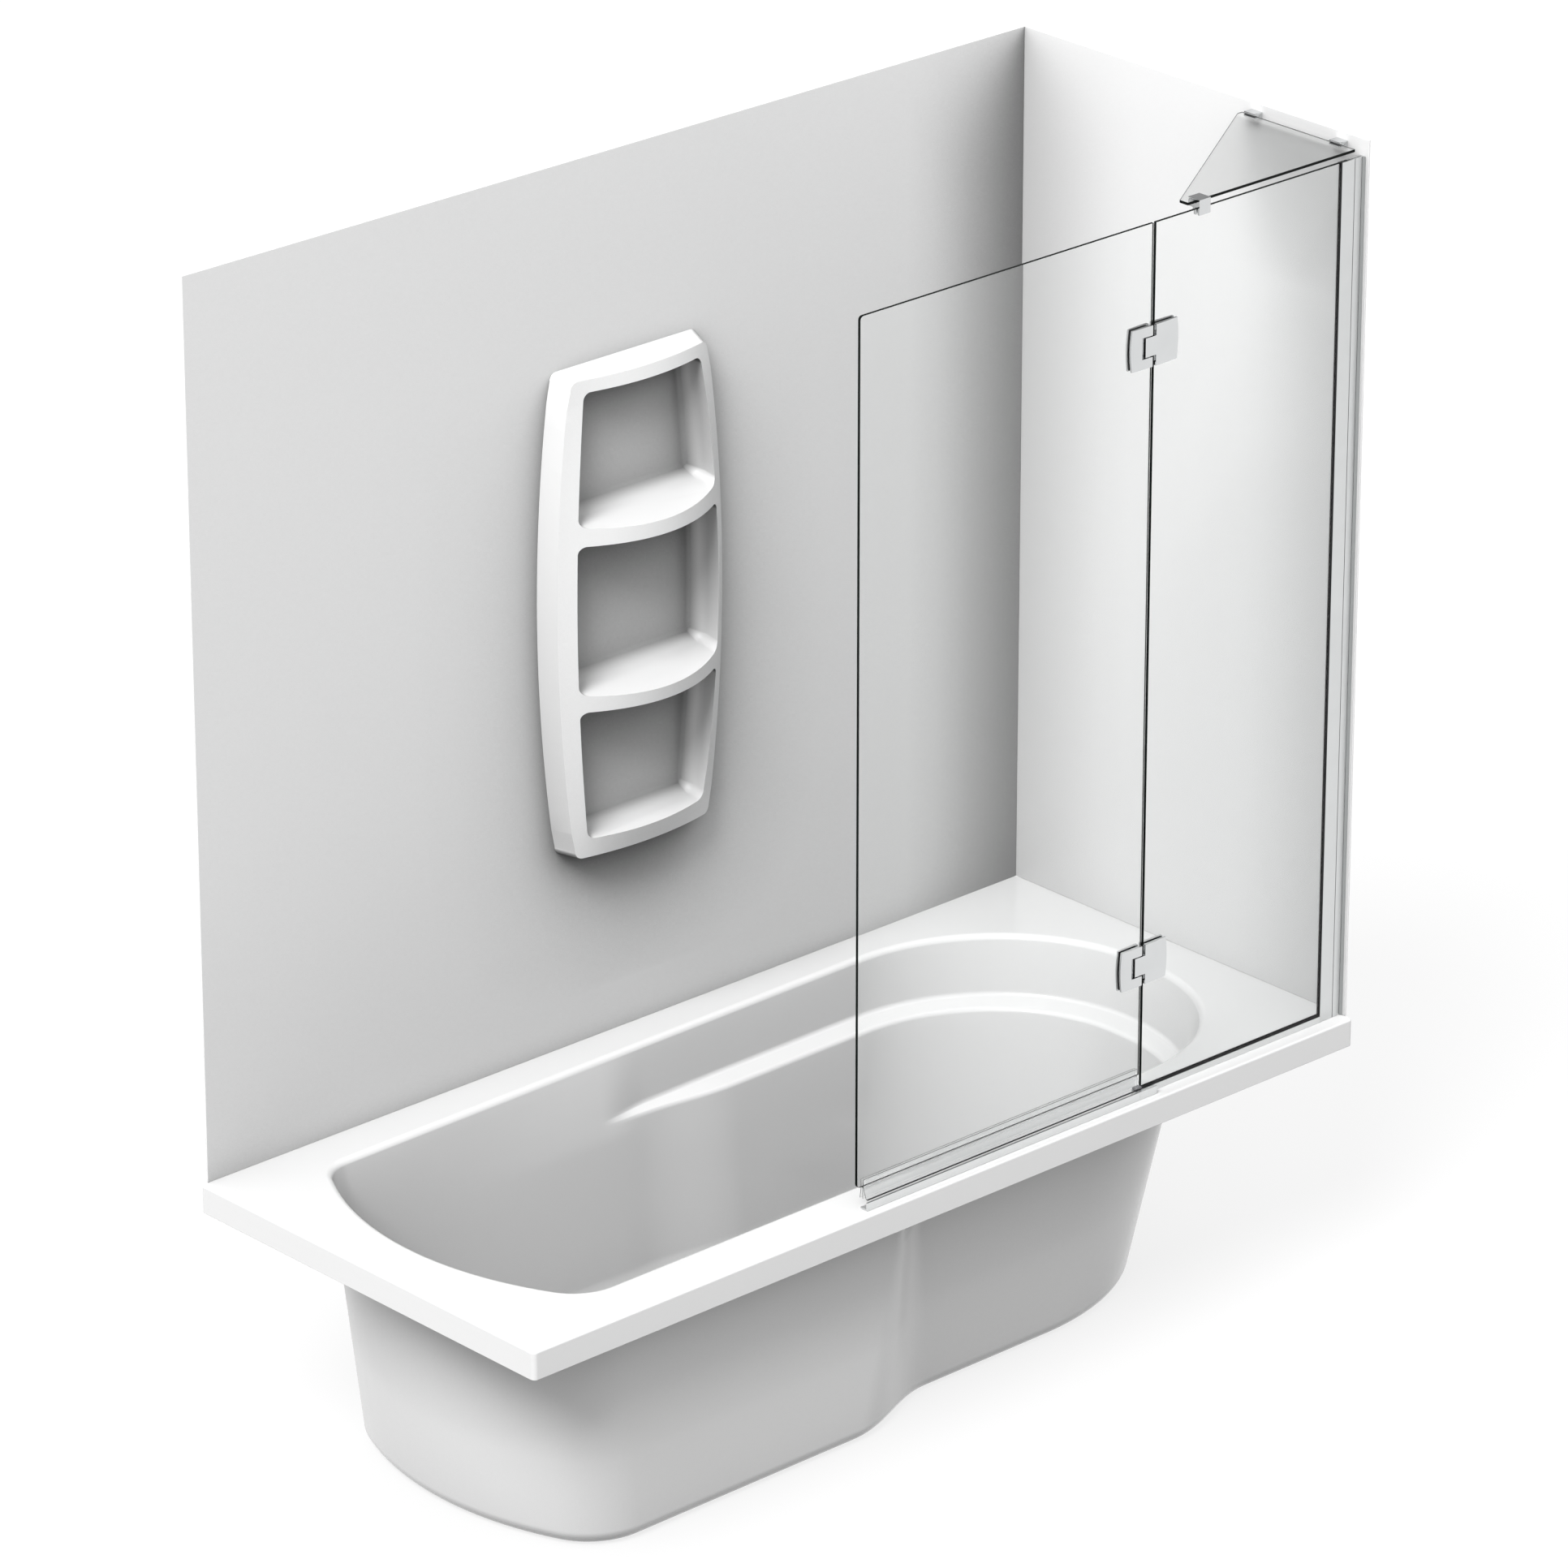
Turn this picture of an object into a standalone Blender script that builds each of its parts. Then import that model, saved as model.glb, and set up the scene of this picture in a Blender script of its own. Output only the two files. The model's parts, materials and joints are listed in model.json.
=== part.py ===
# Shower bath: a moulded bath with a hinged glass screen, two wall panels and a shelf unit.
# Metres, +Z up. The bath stands on z = 0 with its rim centred over the origin.
# The screen side faces -Y, and the end wall with the wall profile is at +X.

import math

import bmesh
import bpy
from mathutils import Matrix, Vector

# Clearances
GAP = 0.0003  # between pieces that touch on the real object
FINE_GAP = 0.0002  # either side of a thin gasket
OVERRUN = 0.002  # how far a cutter runs past what it cuts

# Bath
BATH_LENGTH = 1.680
BATH_WIDTH = 0.750
BATH_HEIGHT = 0.450
SHELL_WALL = 0.006
LIP_HEIGHT = 0.045
LIP_WALL = 0.0055
RIM_CORNER = 0.0075
RIM_EDGE = 0.003
FRONT_MARGIN = 0.0805
BACK_MARGIN = 0.071
BACK_SLANT = 0.014  # the back edge of the opening runs this much wider towards the head
FOOT_MARGIN = 0.083
HEAD_MARGIN = 0.078
HEAD_START = 0.397  # from the rim's end to where the round head begins
OPENING_ROUND = 0.010
FOOT_RADIUS = 0.529
FRONT_FILLET = 0.090
BACK_FILLET = 0.070
TUB_DEPTH = 0.410
FLOOR_FILLET = 0.060
LEDGE_DEPTH = 0.091
LEDGE_FALL = 0.010
LEDGE_ROUND = 0.006
FRONT_LEDGE = 0.036
BACK_LEDGE = 0.048
HEAD_LEDGE = 0.035
LEDGE_FOOT_SHARE = 0.92  # how much of the ledge's width there is at its foot
LEDGE_TOP_SHARE = 0.10  # and where it begins
STEP_FROM = 0.878  # from the rim's end to where the ledge fades in
STEP_TO = 0.798  # from the rim's end to where it is full width
BOTTOM_ROUND = 0.026
FOOT_LAND = 0.014
FOOT_POCKET = 0.034  # height of the space inside the foot ring
SIDE_DRAFT_SHARE = 0.060
FOOT_DRAFT_SHARE = 0.140
HEAD_DRAFT_SHARE = 0.165
LOWER_HEAD_DRAFT_SHARE = 0.114
LOWER_FRONT_DRAFT_SHARE = 0.060
LOWER_BACK_DRAFT_SHARE = 0.031
HEAD_START_DRAFT_SHARE = 0.190
STEP_FROM_DRAFT_SHARE = 0.176
STEP_TO_DRAFT_SHARE = -0.168
FILLET_GROWTH_SHARE = 0.070
FOOT_SHIFT_SHARE = 0.034  # the foot's arc turns this much towards the back as it goes down
HEAD_FRONT_POWER = 2.3  # fuller than an ellipse on the screen side
HEAD_LEDGE_POWER = 0.4  # what the ledge adds to that fullness
HEAD_POWER_FALL = 0.7  # what it has lost at the floor
HEAD_BACK_POWER = 2.0
HEAD_STEPS = 12
FILLET_STEPS = 6
FOOT_STEPS = 9
STEP_STEPS = 8
CORNER_STEPS = 3
OPENING_ANGLES = (80, 52, 26, 0)
FLOOR_ANGLES = (90, 67.5, 45, 22.5, 0)

# Baseboard and waste
BOARD_THICKNESS = 0.018
BOARD_MARGIN = 0.004
WASTE_FROM_HEAD = 0.343
WASTE_HOLE = 0.0235
TUBE_RADIUS = 0.0225
TUBE_WALL = 0.0025
FLANGE_RADIUS = 0.035
FLANGE_THICKNESS = 0.0022
WASHER_THICKNESS = 0.0012
WASTE_FOOT = 0.005
BACK_WASHER_RADIUS = 0.033
BACK_WASHER_THICKNESS = 0.003
NUT_RADIUS = 0.032
NUT_THICKNESS = 0.011
HUB_RADIUS = 0.008
HUB_HEIGHT = 0.010
HUB_ARM = 0.004
STEM_RADIUS = 0.0035
PLUG_RADIUS = 0.0315
PLUG_THICKNESS = 0.005
PLUG_DOME = 0.002
PLUG_SEAL_RADIUS = 0.029
PLUG_SEAL_HEIGHT = 0.002
ROUND_STEPS = 28

# Wall panels
PANEL_THICKNESS = 0.003
PANEL_HEIGHT = 1.427
BACK_PANEL_START = 0.01165  # from the rim's foot end to the panel's free edge
END_PANEL_START = 0.015  # from the rim's front edge to the panel's free edge

# Shelf unit on the back panel
SHELF_X = 0.007
SHELF_LOW = 0.326
SHELF_HEIGHT = 0.779
SHELF_WALL_HALF = 0.177
SHELF_FACE_HALF = 0.1665
SHELF_TAPER = 0.030
SHELF_SIDE_DEPTH = 0.035
SHELF_MIDDLE_DEPTH = 0.103
SHELF_BOW_LOSS = 0.051
SHELF_TOP_LEAN = 0.008
POCKET_EDGE = 0.024
POCKET_BACK = 0.0045
POCKET_RADIUS = 0.013
POCKET_FILLET = 0.008
POCKET_SILL = 0.012  # how far each shelf falls from back to front
POCKET_SPANS = ((0.022, 0.247), (0.267, 0.515), (0.536, 0.752))
POCKET_CORNER_STEPS = 3
SHELF_SIDE_SHARES = (0, 0.24, 0.46, 0.66, 0.82, 0.92, 1)
SHELF_ROW_SHARES = (0, 0.018, 0.06, 0.14, 0.24, 0.36, 0.5, 0.64, 0.76, 0.86, 0.94, 0.982, 1)

# Glass screen, measured from its middle plane, the hinge pin, the end wall's face and the rim
SCREEN_INSET = 0.029  # from the rim's front edge to the middle of the glass
GLASS = 0.005
SCREEN_TOP = 1.400
PIN_FROM_WALL = 0.448
SWING_REACH = 0.5733
SWING_PAST = 0.010
SWING_FOOT = 0.0355
FIXED_START = 0.015
FIXED_FOOT = 0.0125
GLASS_CORNER = 0.006

# Hinges
HINGE_PLACES = {"lower": 0.2193, "upper": 1.2121}
HINGE_HEIGHT = 0.0645
SWING_LEAF_REACH = 0.0367
SWING_LEAF_PAST = 0.0066
FIXED_LEAF_START = 0.0136
FIXED_LEAF_END = 0.0609
LEAF_EDGE = 0.003
LEAF_CROWN = 0.002
LEAF_BULGE = 0.0025
LEAF_STEPS = 8
NOTCH_REACH = 0.0144
NOTCH_HALF = 0.0168
TONGUE_REACH = 0.0077
TONGUE_HALF = 0.015
KNUCKLE_HALF = 0.0032
KNUCKLE_STEP = 0.0003
ARM_REACH = 0.0134
ARM_START = 0.017
ARM_HEIGHT = 0.011
TONGUE_ROOT = 0.019
GASKET = 0.0006
PIN_RADIUS = 0.002
PIN_HALF = 0.027
PIN_COLLAR = 0.003
PIN_STEPS = 16
SWING_CUT_REACH = 0.016
SWING_CUT_HALF = 0.029
FIXED_CUT_END = 0.021
FIXED_CUT_HALF = 0.0168
GASKET_MARGIN = 0.0012
SWING_SCREW = -0.026
FIXED_SCREW = 0.041
SWING_SCREW_RISE = 0.022
FIXED_SCREW_RISE = 0.018
SCREW_HEAD = 0.0032
SCREW_SHANK = 0.0017
SCREW_HEAD_DEPTH = 0.002
SCREW_BACK = 0.007
SCREW_FRONT = 0.0055
SCREW_STEPS = 12

# Wall channel
CHANNEL_HALF = 0.004
JAMB_FAR = 0.0455
JAMB_NEAR = 0.019
JAMB_WEB = 0.0295
PROFILE_WALL = 0.0012
WALL_SLOT_HALF = 0.0026  # half of the jamb's slot for the wall profile's legs
WALL_PROFILE_REACH = 0.0177
WALL_PROFILE_BASE = 0.0025
WALL_LEG_REACH = 0.028
PROFILE_SCREW_FROM_WALL = 0.0235
PROFILE_SCREW_HEAD = 0.0028
PROFILE_SCREW_HEAD_DEPTH = 0.0016
PROFILE_SCREW_SHANK = 0.0015
PROFILE_SCREW_TIP = 0.0016
PROFILE_SCREW_PLACES = (0.1, 0.7, 1.3)
SEALANT_WIDTH = 0.0042
SEALANT_DEPTH = 0.0037
SEALANT_WAIST_SHARE = 0.45

# Rails on the rim
THRESHOLD_FRONT = 0.0156
THRESHOLD_BACK = 0.0005
THRESHOLD_HEIGHT = 0.0137
THRESHOLD_WALL = 0.003
THRESHOLD_START = 0.0083  # from the swing glass's free edge
JOINER_START = 0.001  # from the pin
JOINER_END = 0.037  # from the pin
JOINER_WALL = 0.006
RAIL_HALF = 0.0045
RAIL_HEIGHT = 0.0105
STRIP_WALL = 0.0009
STRIP_HEIGHT = 0.0032
BLOCK_START = 0.002
BLOCK_HALF = 0.005
BLOCK_HEIGHT = 0.0046

# Drip seal
SEAL_START = 0.011  # from the swing glass's free edge
SEAL_PAST = 0.005  # past the pin
SEAL_WALL = 0.0013
SEAL_WEB = 0.0015
SEAL_LEG = 0.0113
FIN_THICKNESS = 0.001
FIN_DROP = 0.0177
FRONT_FIN_LEAN = 0.0071
BACK_FIN_LEAN = 0.0024
MIDDLE_FIN = -0.0025
LIP_WIDTH = 0.0019
LIP_DEPTH = 0.0015

# Brace glass and its clamps
BRACE_GLASS = 0.0044
BRACE_TOP = 1.4125
BRACE_FRONT = 0.001
BRACE_REACH = 0.365
BRACE_TIP = 0.017
BRACE_DEPTH = 0.235
BRACE_END = 0.010
BRACE_WALL_GAP = 0.014
CLAMP_WIDTH = 0.023
CLAMP_DEPTH = 0.017
CLAMP_JAW = 0.003
CLAMP_LOWER_JAW = 0.0025
CLAMP_PAD = 0.0006
WALL_CLAMP_PLACES = (0.041, 0.2183)
PANEL_CLAMP_FROM_TIP = 0.017  # from the brace's pointed end
PANEL_CLAMP_FRONT = 0.0066
PANEL_CLAMP_DEPTH = 0.024
PANEL_CLAMP_NOSE = 0.007
PANEL_CLAMP_BACK_LEG = 0.005
PANEL_CLAMP_DROP = 0.010
PANEL_CLAMP_ROOF = 0.0017

# Places worked out from the sizes
RIM_FRONT = -BATH_WIDTH / 2
RIM_BACK = BATH_WIDTH / 2
RIM_FOOT = -BATH_LENGTH / 2
RIM_HEAD = BATH_LENGTH / 2
BACK_FACE = RIM_BACK - PANEL_THICKNESS
WALL_FACE = RIM_HEAD - PANEL_THICKNESS
SCREEN_Y = RIM_FRONT + SCREEN_INSET
PIN_X = WALL_FACE - PIN_FROM_WALL
SWING_EDGE = PIN_X - SWING_REACH
RIM_TOP = BATH_HEIGHT
GLASS_FACE = GLASS / 2
SLOT_HALF = GLASS_FACE + GAP
LEAF_FLAT = GLASS_FACE + FINE_GAP + GASKET + FINE_GAP
FLOOR_TOP = BATH_HEIGHT - TUB_DEPTH
WASTE_X = RIM_HEAD - WASTE_FROM_HEAD
WASTE_Y = (BACK_SLANT + FRONT_MARGIN - BACK_MARGIN) / 2
BRACE_LOW = BRACE_TOP - BRACE_GLASS


# Scene set-up and helpers


def clear_scene():
    """Remove everything that the file opened with."""
    for obj in list(bpy.data.objects):
        bpy.data.objects.remove(obj, do_unlink=True)
    for collection in list(bpy.data.collections):
        bpy.data.collections.remove(collection)


def new_collection(name, helper):
    collection = bpy.data.collections.new(name)
    collection.hide_render = helper
    bpy.context.scene.collection.children.link(collection)
    return collection


clear_scene()
PARTS = new_collection("shower_bath", False)
CUTTERS = new_collection("cutters", True)


def material(name, colour, roughness, metallic, transmission=0):
    slot = bpy.data.materials.new(name)
    slot.use_nodes = True
    shader = slot.node_tree.nodes["Principled BSDF"]
    shader.inputs["Base Color"].default_value = (*colour, 1)
    shader.inputs["Roughness"].default_value = roughness
    shader.inputs["Metallic"].default_value = metallic
    shader.inputs["Transmission Weight"].default_value = transmission
    slot.diffuse_color = (*colour, 1)
    return slot


ACRYLIC = material("white_acrylic", (0.90, 0.90, 0.90), 0.12, 0)
PANEL = material("grey_panel", (0.56, 0.57, 0.57), 0.25, 0)
SATIN = material("satin_aluminium", (0.62, 0.63, 0.63), 0.30, 1)
CHROME = material("polished_chrome", (0.72, 0.73, 0.73), 0.10, 1)
CLEAR_GLASS = material("clear_glass", (0.92, 0.96, 0.95), 0.01, 0, 1)
CLEAR_VINYL = material("clear_vinyl", (0.86, 0.88, 0.88), 0.20, 0, 1)
BLACK_RUBBER = material("black_rubber", (0.015, 0.015, 0.016), 0.55, 0)
GREY_PLASTIC = material("grey_plastic", (0.16, 0.16, 0.17), 0.45, 0)
SEALANT = material("grey_sealant", (0.27, 0.28, 0.28), 0.50, 0)
BOARD = material("resin_board", (0.50, 0.42, 0.30), 0.80, 0)


def place_mesh(name, mesh, middle, slot):
    """An object for a mesh. Without a material it is a cutter."""
    obj = bpy.data.objects.new(name, mesh)
    obj.location = middle
    if slot is None:
        CUTTERS.objects.link(obj)
        obj.display_type = "WIRE"
    else:
        mesh.materials.append(slot)
        PARTS.objects.link(obj)
    return obj


def box(name, low, high, slot=None):
    """A block between two opposite corners."""
    low = Vector(low)
    high = Vector(high)
    shape = bmesh.new()
    bmesh.ops.create_cube(shape, size=1)
    size = Matrix.Diagonal((*(high - low), 1))
    bmesh.ops.transform(shape, matrix=size, verts=shape.verts)
    mesh = bpy.data.meshes.new(name)
    shape.to_mesh(mesh)
    shape.free()
    return place_mesh(name, mesh, (low + high) / 2, slot)


FACING = {
    "x": Matrix(((0, 0, 1), (1, 0, 0), (0, 1, 0))).to_4x4(),
    "y": Matrix(((1, 0, 0), (0, 0, -1), (0, 1, 0))).to_4x4(),
    "z": Matrix.Identity(4),
}


def flat(name, outlines, low, high, facing, slot=None):
    """A flat outline, with any holes, as thick as from low to high along the axis that it faces."""
    curve = bpy.data.curves.new(name, "CURVE")
    curve.dimensions = "2D"
    curve.fill_mode = "BOTH"
    curve.extrude = (high - low) / 2
    for outline in outlines:
        spline = curve.splines.new("POLY")
        spline.points.add(len(outline) - 1)
        for point, (across, up) in zip(spline.points, outline):
            point.co = (across, up, 0, 1)
        spline.use_cyclic_u = True
    guide = bpy.data.objects.new(name + "_outline", curve)
    mesh = bpy.data.meshes.new_from_object(guide)
    bpy.data.objects.remove(guide, do_unlink=True)
    bpy.data.curves.remove(curve)
    mesh.name = name
    mesh.transform(FACING[facing])
    weld(mesh)
    middle = Vector((0, 0, 0))
    middle["xyz".index(facing)] = (low + high) / 2
    return place_mesh(name, mesh, middle, slot)


WELD = 1e-6


def weld(mesh):
    """Join the points that lie on each other and turn every face outwards."""
    shape = bmesh.new()
    shape.from_mesh(mesh)
    bmesh.ops.remove_doubles(shape, verts=shape.verts, dist=WELD)
    bmesh.ops.recalc_face_normals(shape, faces=shape.faces)
    shape.to_mesh(mesh)
    shape.free()


UPRIGHT = Matrix.Identity(4)
TOWARDS_BACK = Matrix.Rotation(-math.pi / 2, 4, "X")


def turned(name, profile, middle, turn, steps, slot=None):
    """A turned shape: its profile runs from top to bottom, as pairs of radius and height."""
    mesh = bpy.data.meshes.new(name)
    points = [(radius, 0, height) for radius, height in profile]
    closed = profile[0][0] > 0
    edges = [(k, k + 1) for k in range(len(points) - 1)]
    if closed:
        edges.append((len(points) - 1, 0))
    mesh.from_pydata(points, edges, [])
    obj = place_mesh(name, mesh, middle, slot)
    obj.rotation_euler = turn.to_euler()
    screw = obj.modifiers.new("turn", "SCREW")
    screw.steps = steps
    screw.render_steps = steps
    screw.use_merge_vertices = True
    screw.merge_threshold = WELD
    screw.use_smooth_shade = True
    return obj


def combine(obj, other, operation):
    step = obj.modifiers.new(other.name, "BOOLEAN")
    step.operation = operation
    step.solver = "EXACT"
    step.object = other
    return obj


def cut(obj, *cutters):
    for cutter in cutters:
        combine(obj, cutter, "DIFFERENCE")
    return obj


def arc(centre, radius, start, end, steps):
    """Points on an arc between two angles in degrees, both ends included."""
    points = []
    for step in range(steps + 1):
        angle = math.radians(start + (end - start) * step / steps)
        points.append((centre[0] + radius * math.cos(angle), centre[1] + radius * math.sin(angle)))
    return points


def blend(start, end, share):
    return start + (end - start) * share


# Bath shell


def tub_ring(depth, reach, ledge_share):
    """Points round the tub at a depth below the rim, counterclockwise from the middle of the head."""
    under = max(depth - LEDGE_DEPTH, 0)
    above = depth - under
    side = reach + SIDE_DRAFT_SHARE * depth
    front = RIM_FRONT + FRONT_MARGIN + side
    back = RIM_BACK - BACK_MARGIN - side
    foot = RIM_FOOT + FOOT_MARGIN + reach + FOOT_DRAFT_SHARE * depth
    head = RIM_HEAD - HEAD_MARGIN - reach - HEAD_DRAFT_SHARE * above
    head -= ledge_share * HEAD_LEDGE + LOWER_HEAD_DRAFT_SHARE * under
    front_inset = ledge_share * FRONT_LEDGE + LOWER_FRONT_DRAFT_SHARE * under
    back_inset = ledge_share * BACK_LEDGE + LOWER_BACK_DRAFT_SHARE * under
    head_power = HEAD_FRONT_POWER + HEAD_LEDGE_POWER * ledge_share - HEAD_POWER_FALL * depth / BATH_HEIGHT
    head_start = RIM_HEAD - HEAD_START - HEAD_START_DRAFT_SHARE * depth
    step_from = RIM_HEAD - STEP_FROM - STEP_FROM_DRAFT_SHARE * under
    step_to = RIM_HEAD - STEP_TO - STEP_TO_DRAFT_SHARE * under

    radius = FOOT_RADIUS - reach
    centre = (foot + radius, (front + back) / 2 + FOOT_SHIFT_SHARE * depth)
    front_fillet = foot_fillet(centre, radius, front, FRONT_FILLET - reach + FILLET_GROWTH_SHARE * depth)
    back_fillet = foot_fillet(centre, radius, back, reach - BACK_FILLET)

    middle = (front + back + BACK_SLANT) / 2
    points = head_quarter(head, head_start, middle, back + BACK_SLANT - back_inset, HEAD_BACK_POWER)
    stations = straight_stations(back_fillet[0], step_from, step_to, head_start)
    for x in reversed(stations[:-1]):
        along_share = (x - back_fillet[0]) / (head_start - back_fillet[0])
        inset = back_inset * eased((x - step_from) / (step_to - step_from))
        points.append((x, back + BACK_SLANT * along_share - inset))
    points += arc(back_fillet[:2], back_fillet[2], 90, back_fillet[3], FILLET_STEPS)[1:]
    points += arc(centre, radius, back_fillet[3], front_fillet[3], FOOT_STEPS)[1:]
    points += arc(front_fillet[:2], front_fillet[2], front_fillet[3], 270, FILLET_STEPS)[1:]
    stations = straight_stations(front_fillet[0], step_from, step_to, head_start)
    for x in stations[1:]:
        points.append((x, front + front_inset * eased((x - step_from) / (step_to - step_from))))
    points += head_quarter(head, head_start, middle, front + front_inset, head_power)[-2:0:-1]
    height = RIM_TOP - depth
    return [(x, y, height) for x, y in points]


def foot_fillet(centre, radius, side, fillet):
    """Centre, radius and outer angle of the fillet between a side of the tub and the arc of its foot."""
    middle_y = side + fillet
    fillet = abs(fillet)
    rise = centre[1] - middle_y
    middle_x = centre[0] - math.sqrt((radius - fillet) ** 2 - rise**2)
    angle = math.degrees(math.atan2(middle_y - centre[1], middle_x - centre[0])) % 360
    return middle_x, middle_y, fillet, angle


def head_quarter(head, head_start, middle, side, power):
    """Points from the middle of the head to where a side begins, on a quarter of a superellipse."""
    points = []
    for step in range(HEAD_STEPS + 1):
        angle = math.pi / 2 * step / HEAD_STEPS
        across_share = max(math.cos(angle), 0) ** (2 / power) if step < HEAD_STEPS else 0
        up_share = math.sin(angle) ** (2 / power)
        points.append((blend(head_start, head, across_share), blend(middle, side, up_share)))
    return points


def straight_stations(start, step_from, step_to, head_start):
    """Where the rings' points lie along a side, closer together where the ledge fades in."""
    stations = [start, blend(start, step_from, 1 / 2)]
    stations += [blend(step_from, step_to, step / STEP_STEPS) for step in range(STEP_STEPS + 1)]
    stations += [blend(step_to, head_start, 1 / 2), head_start]
    return stations


def eased(share):
    share = min(max(share, 0), 1)
    return share * share * (3 - 2 * share)


SIDE_POINTS = STEP_STEPS + 4  # points that one side adds to a ring
BACK_FILLET_AT = HEAD_STEPS + SIDE_POINTS
FRONT_FILLET_AT = BACK_FILLET_AT + FILLET_STEPS + FOOT_STEPS
FRONT_END_AT = FRONT_FILLET_AT + FILLET_STEPS + SIDE_POINTS


def rim_ring(height, inset):
    """A rounded rectangle with one point for each point of the tub's opening."""
    ring = []
    radius = RIM_CORNER - inset
    head = RIM_HEAD - inset
    foot = RIM_FOOT + inset
    front = RIM_FRONT + inset
    back = RIM_BACK - inset
    for x, y, _ in tub_ring(0, 0, 0):
        ring.append([x, y])
    lead = (HEAD_STEPS - CORNER_STEPS + 1) // 2
    pad = (FILLET_STEPS - CORNER_STEPS + 1) // 2
    head_front = FRONT_END_AT + HEAD_STEPS - lead - CORNER_STEPS
    corners = (
        (lead, 0, (head - radius, back - radius)),
        (BACK_FILLET_AT + pad, 90, (foot + radius, back - radius)),
        (FRONT_FILLET_AT + pad, 180, (foot + radius, front + radius)),
        (head_front, 270, (head - radius, front + radius)),
    )
    for index, point in enumerate(ring):
        if index <= lead or index >= head_front:
            point[0] = head
        elif index <= BACK_FILLET_AT + pad:
            point[1] = back
        elif index < FRONT_FILLET_AT + pad:
            point[0] = foot
        else:
            point[1] = front
    for start, angle, centre in corners:
        ring[start:start + CORNER_STEPS + 1] = arc(centre, radius, angle, angle + 90, CORNER_STEPS)
    return [(x, y, height) for x, y in ring]


def turned_edge(radius, angle):
    """How far in and down an edge of this radius has come at an angle from its flat."""
    turn = math.radians(angle)
    return radius * math.sin(turn), radius * (1 - math.cos(turn))


def wall_rings(outside):
    """The rings of one side of the shell from its floor to its opening."""
    ledge_foot = LEDGE_DEPTH + LEDGE_FALL
    steps = (
        (ledge_foot + LEDGE_ROUND, 1),
        (ledge_foot, LEDGE_FOOT_SHARE),
        (LEDGE_DEPTH, LEDGE_TOP_SHARE),
        (LEDGE_DEPTH - LEDGE_ROUND, 0),
    )
    reach = OPENING_ROUND - outside
    rings = [tub_ring(depth + outside, reach, share) for depth, share in steps]
    for angle in OPENING_ANGLES:
        inwards, down = turned_edge(OPENING_ROUND - outside, angle)
        rings.append(tub_ring(outside + down, inwards, 0))
    return rings


def bath_shell():
    rings = []
    for angle in FLOOR_ANGLES:
        inwards, up = turned_edge(FLOOR_FILLET, angle)
        depth = TUB_DEPTH - FLOOR_FILLET + inwards
        rings.append(tub_ring(depth, OPENING_ROUND + up, 1))
    rings += wall_rings(0)
    top = RIM_TOP
    corner_share = 1 - math.sqrt(1 / 2)
    rings.append(rim_ring(top, RIM_EDGE))
    rings.append(rim_ring(top - RIM_EDGE * corner_share, RIM_EDGE * corner_share))
    rings.append(rim_ring(top - RIM_EDGE, 0))
    rings.append(rim_ring(top - LIP_HEIGHT, 0))
    rings.append(rim_ring(top - LIP_HEIGHT, LIP_WALL))
    rings.append(rim_ring(top - SHELL_WALL, LIP_WALL))
    rings += reversed(wall_rings(SHELL_WALL))
    for angle in reversed(FLOOR_ANGLES):
        inwards, up = turned_edge(BOTTOM_ROUND, angle)
        depth = BATH_HEIGHT - BOTTOM_ROUND + inwards
        rings.append(tub_ring(depth, OPENING_ROUND - SHELL_WALL + up, 1))
    pocket_reach = OPENING_ROUND - SHELL_WALL + BOTTOM_ROUND + FOOT_LAND
    rings.append(tub_ring(BATH_HEIGHT, pocket_reach, 1))
    rings.append(pocket_ring(pocket_reach))
    shell = loft("bath_shell", rings, ACRYLIC)
    drain = turned("drain_cutter", rod(WASTE_HOLE, FOOT_POCKET - OVERRUN, FLOOR_TOP + OVERRUN),
                   (WASTE_X, WASTE_Y, 0), UPRIGHT, ROUND_STEPS)
    cut(shell, drain)
    return shell


def pocket_ring(reach):
    """The inner outline of the foot ring, straight up to the underside of the floor."""
    return [(x, y, FOOT_POCKET) for x, y, _ in tub_ring(BATH_HEIGHT, reach, 1)]


def loft(name, rings, slot):
    """A closed skin through rings with equal numbers of points, capped at both ends."""
    shape = bmesh.new()
    rows = [[shape.verts.new(point) for point in ring] for ring in rings]
    for row, following in zip(rows, rows[1:]):
        for k in range(len(row)):
            after = (k + 1) % len(row)
            shape.faces.new((row[k], row[after], following[after], following[k]))
    shape.faces.new(rows[0])
    shape.faces.new(rows[-1])
    bmesh.ops.recalc_face_normals(shape, faces=shape.faces)
    flat_ends = [face for face in shape.faces if len(face.verts) > 4]
    for face in shape.faces:
        face.smooth = face not in flat_ends
    bmesh.ops.triangulate(shape, faces=flat_ends)
    mesh = bpy.data.meshes.new(name)
    shape.to_mesh(mesh)
    shape.free()
    return place_mesh(name, mesh, (0, 0, 0), slot)


def rod(radius, low, high):
    """Profile of a plain rod."""
    return [(0, high), (radius, high), (radius, low), (0, low)]


def tube(inner, outer, low, high):
    """Profile of a plain ring."""
    return [(outer, high), (outer, low), (inner, low), (inner, high)]


# Baseboard, waste and plug


def baseboard():
    reach = OPENING_ROUND - SHELL_WALL + BOTTOM_ROUND + FOOT_LAND + BOARD_MARGIN
    outline = [(x, y) for x, y, _ in tub_ring(BATH_HEIGHT, reach, 1)]
    hole = arc((WASTE_X, WASTE_Y), BACK_WASHER_RADIUS + BOARD_MARGIN, 0, 360, ROUND_STEPS)[1:]
    high = FOOT_POCKET - GAP
    flat("base_board", [outline, hole], high - BOARD_THICKNESS, high, "z", BOARD)


def tube_hole(name, radius, low, high):
    return turned(name, rod(radius, low - OVERRUN, high + OVERRUN), (WASTE_X, WASTE_Y, 0), UPRIGHT, ROUND_STEPS)


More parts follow.
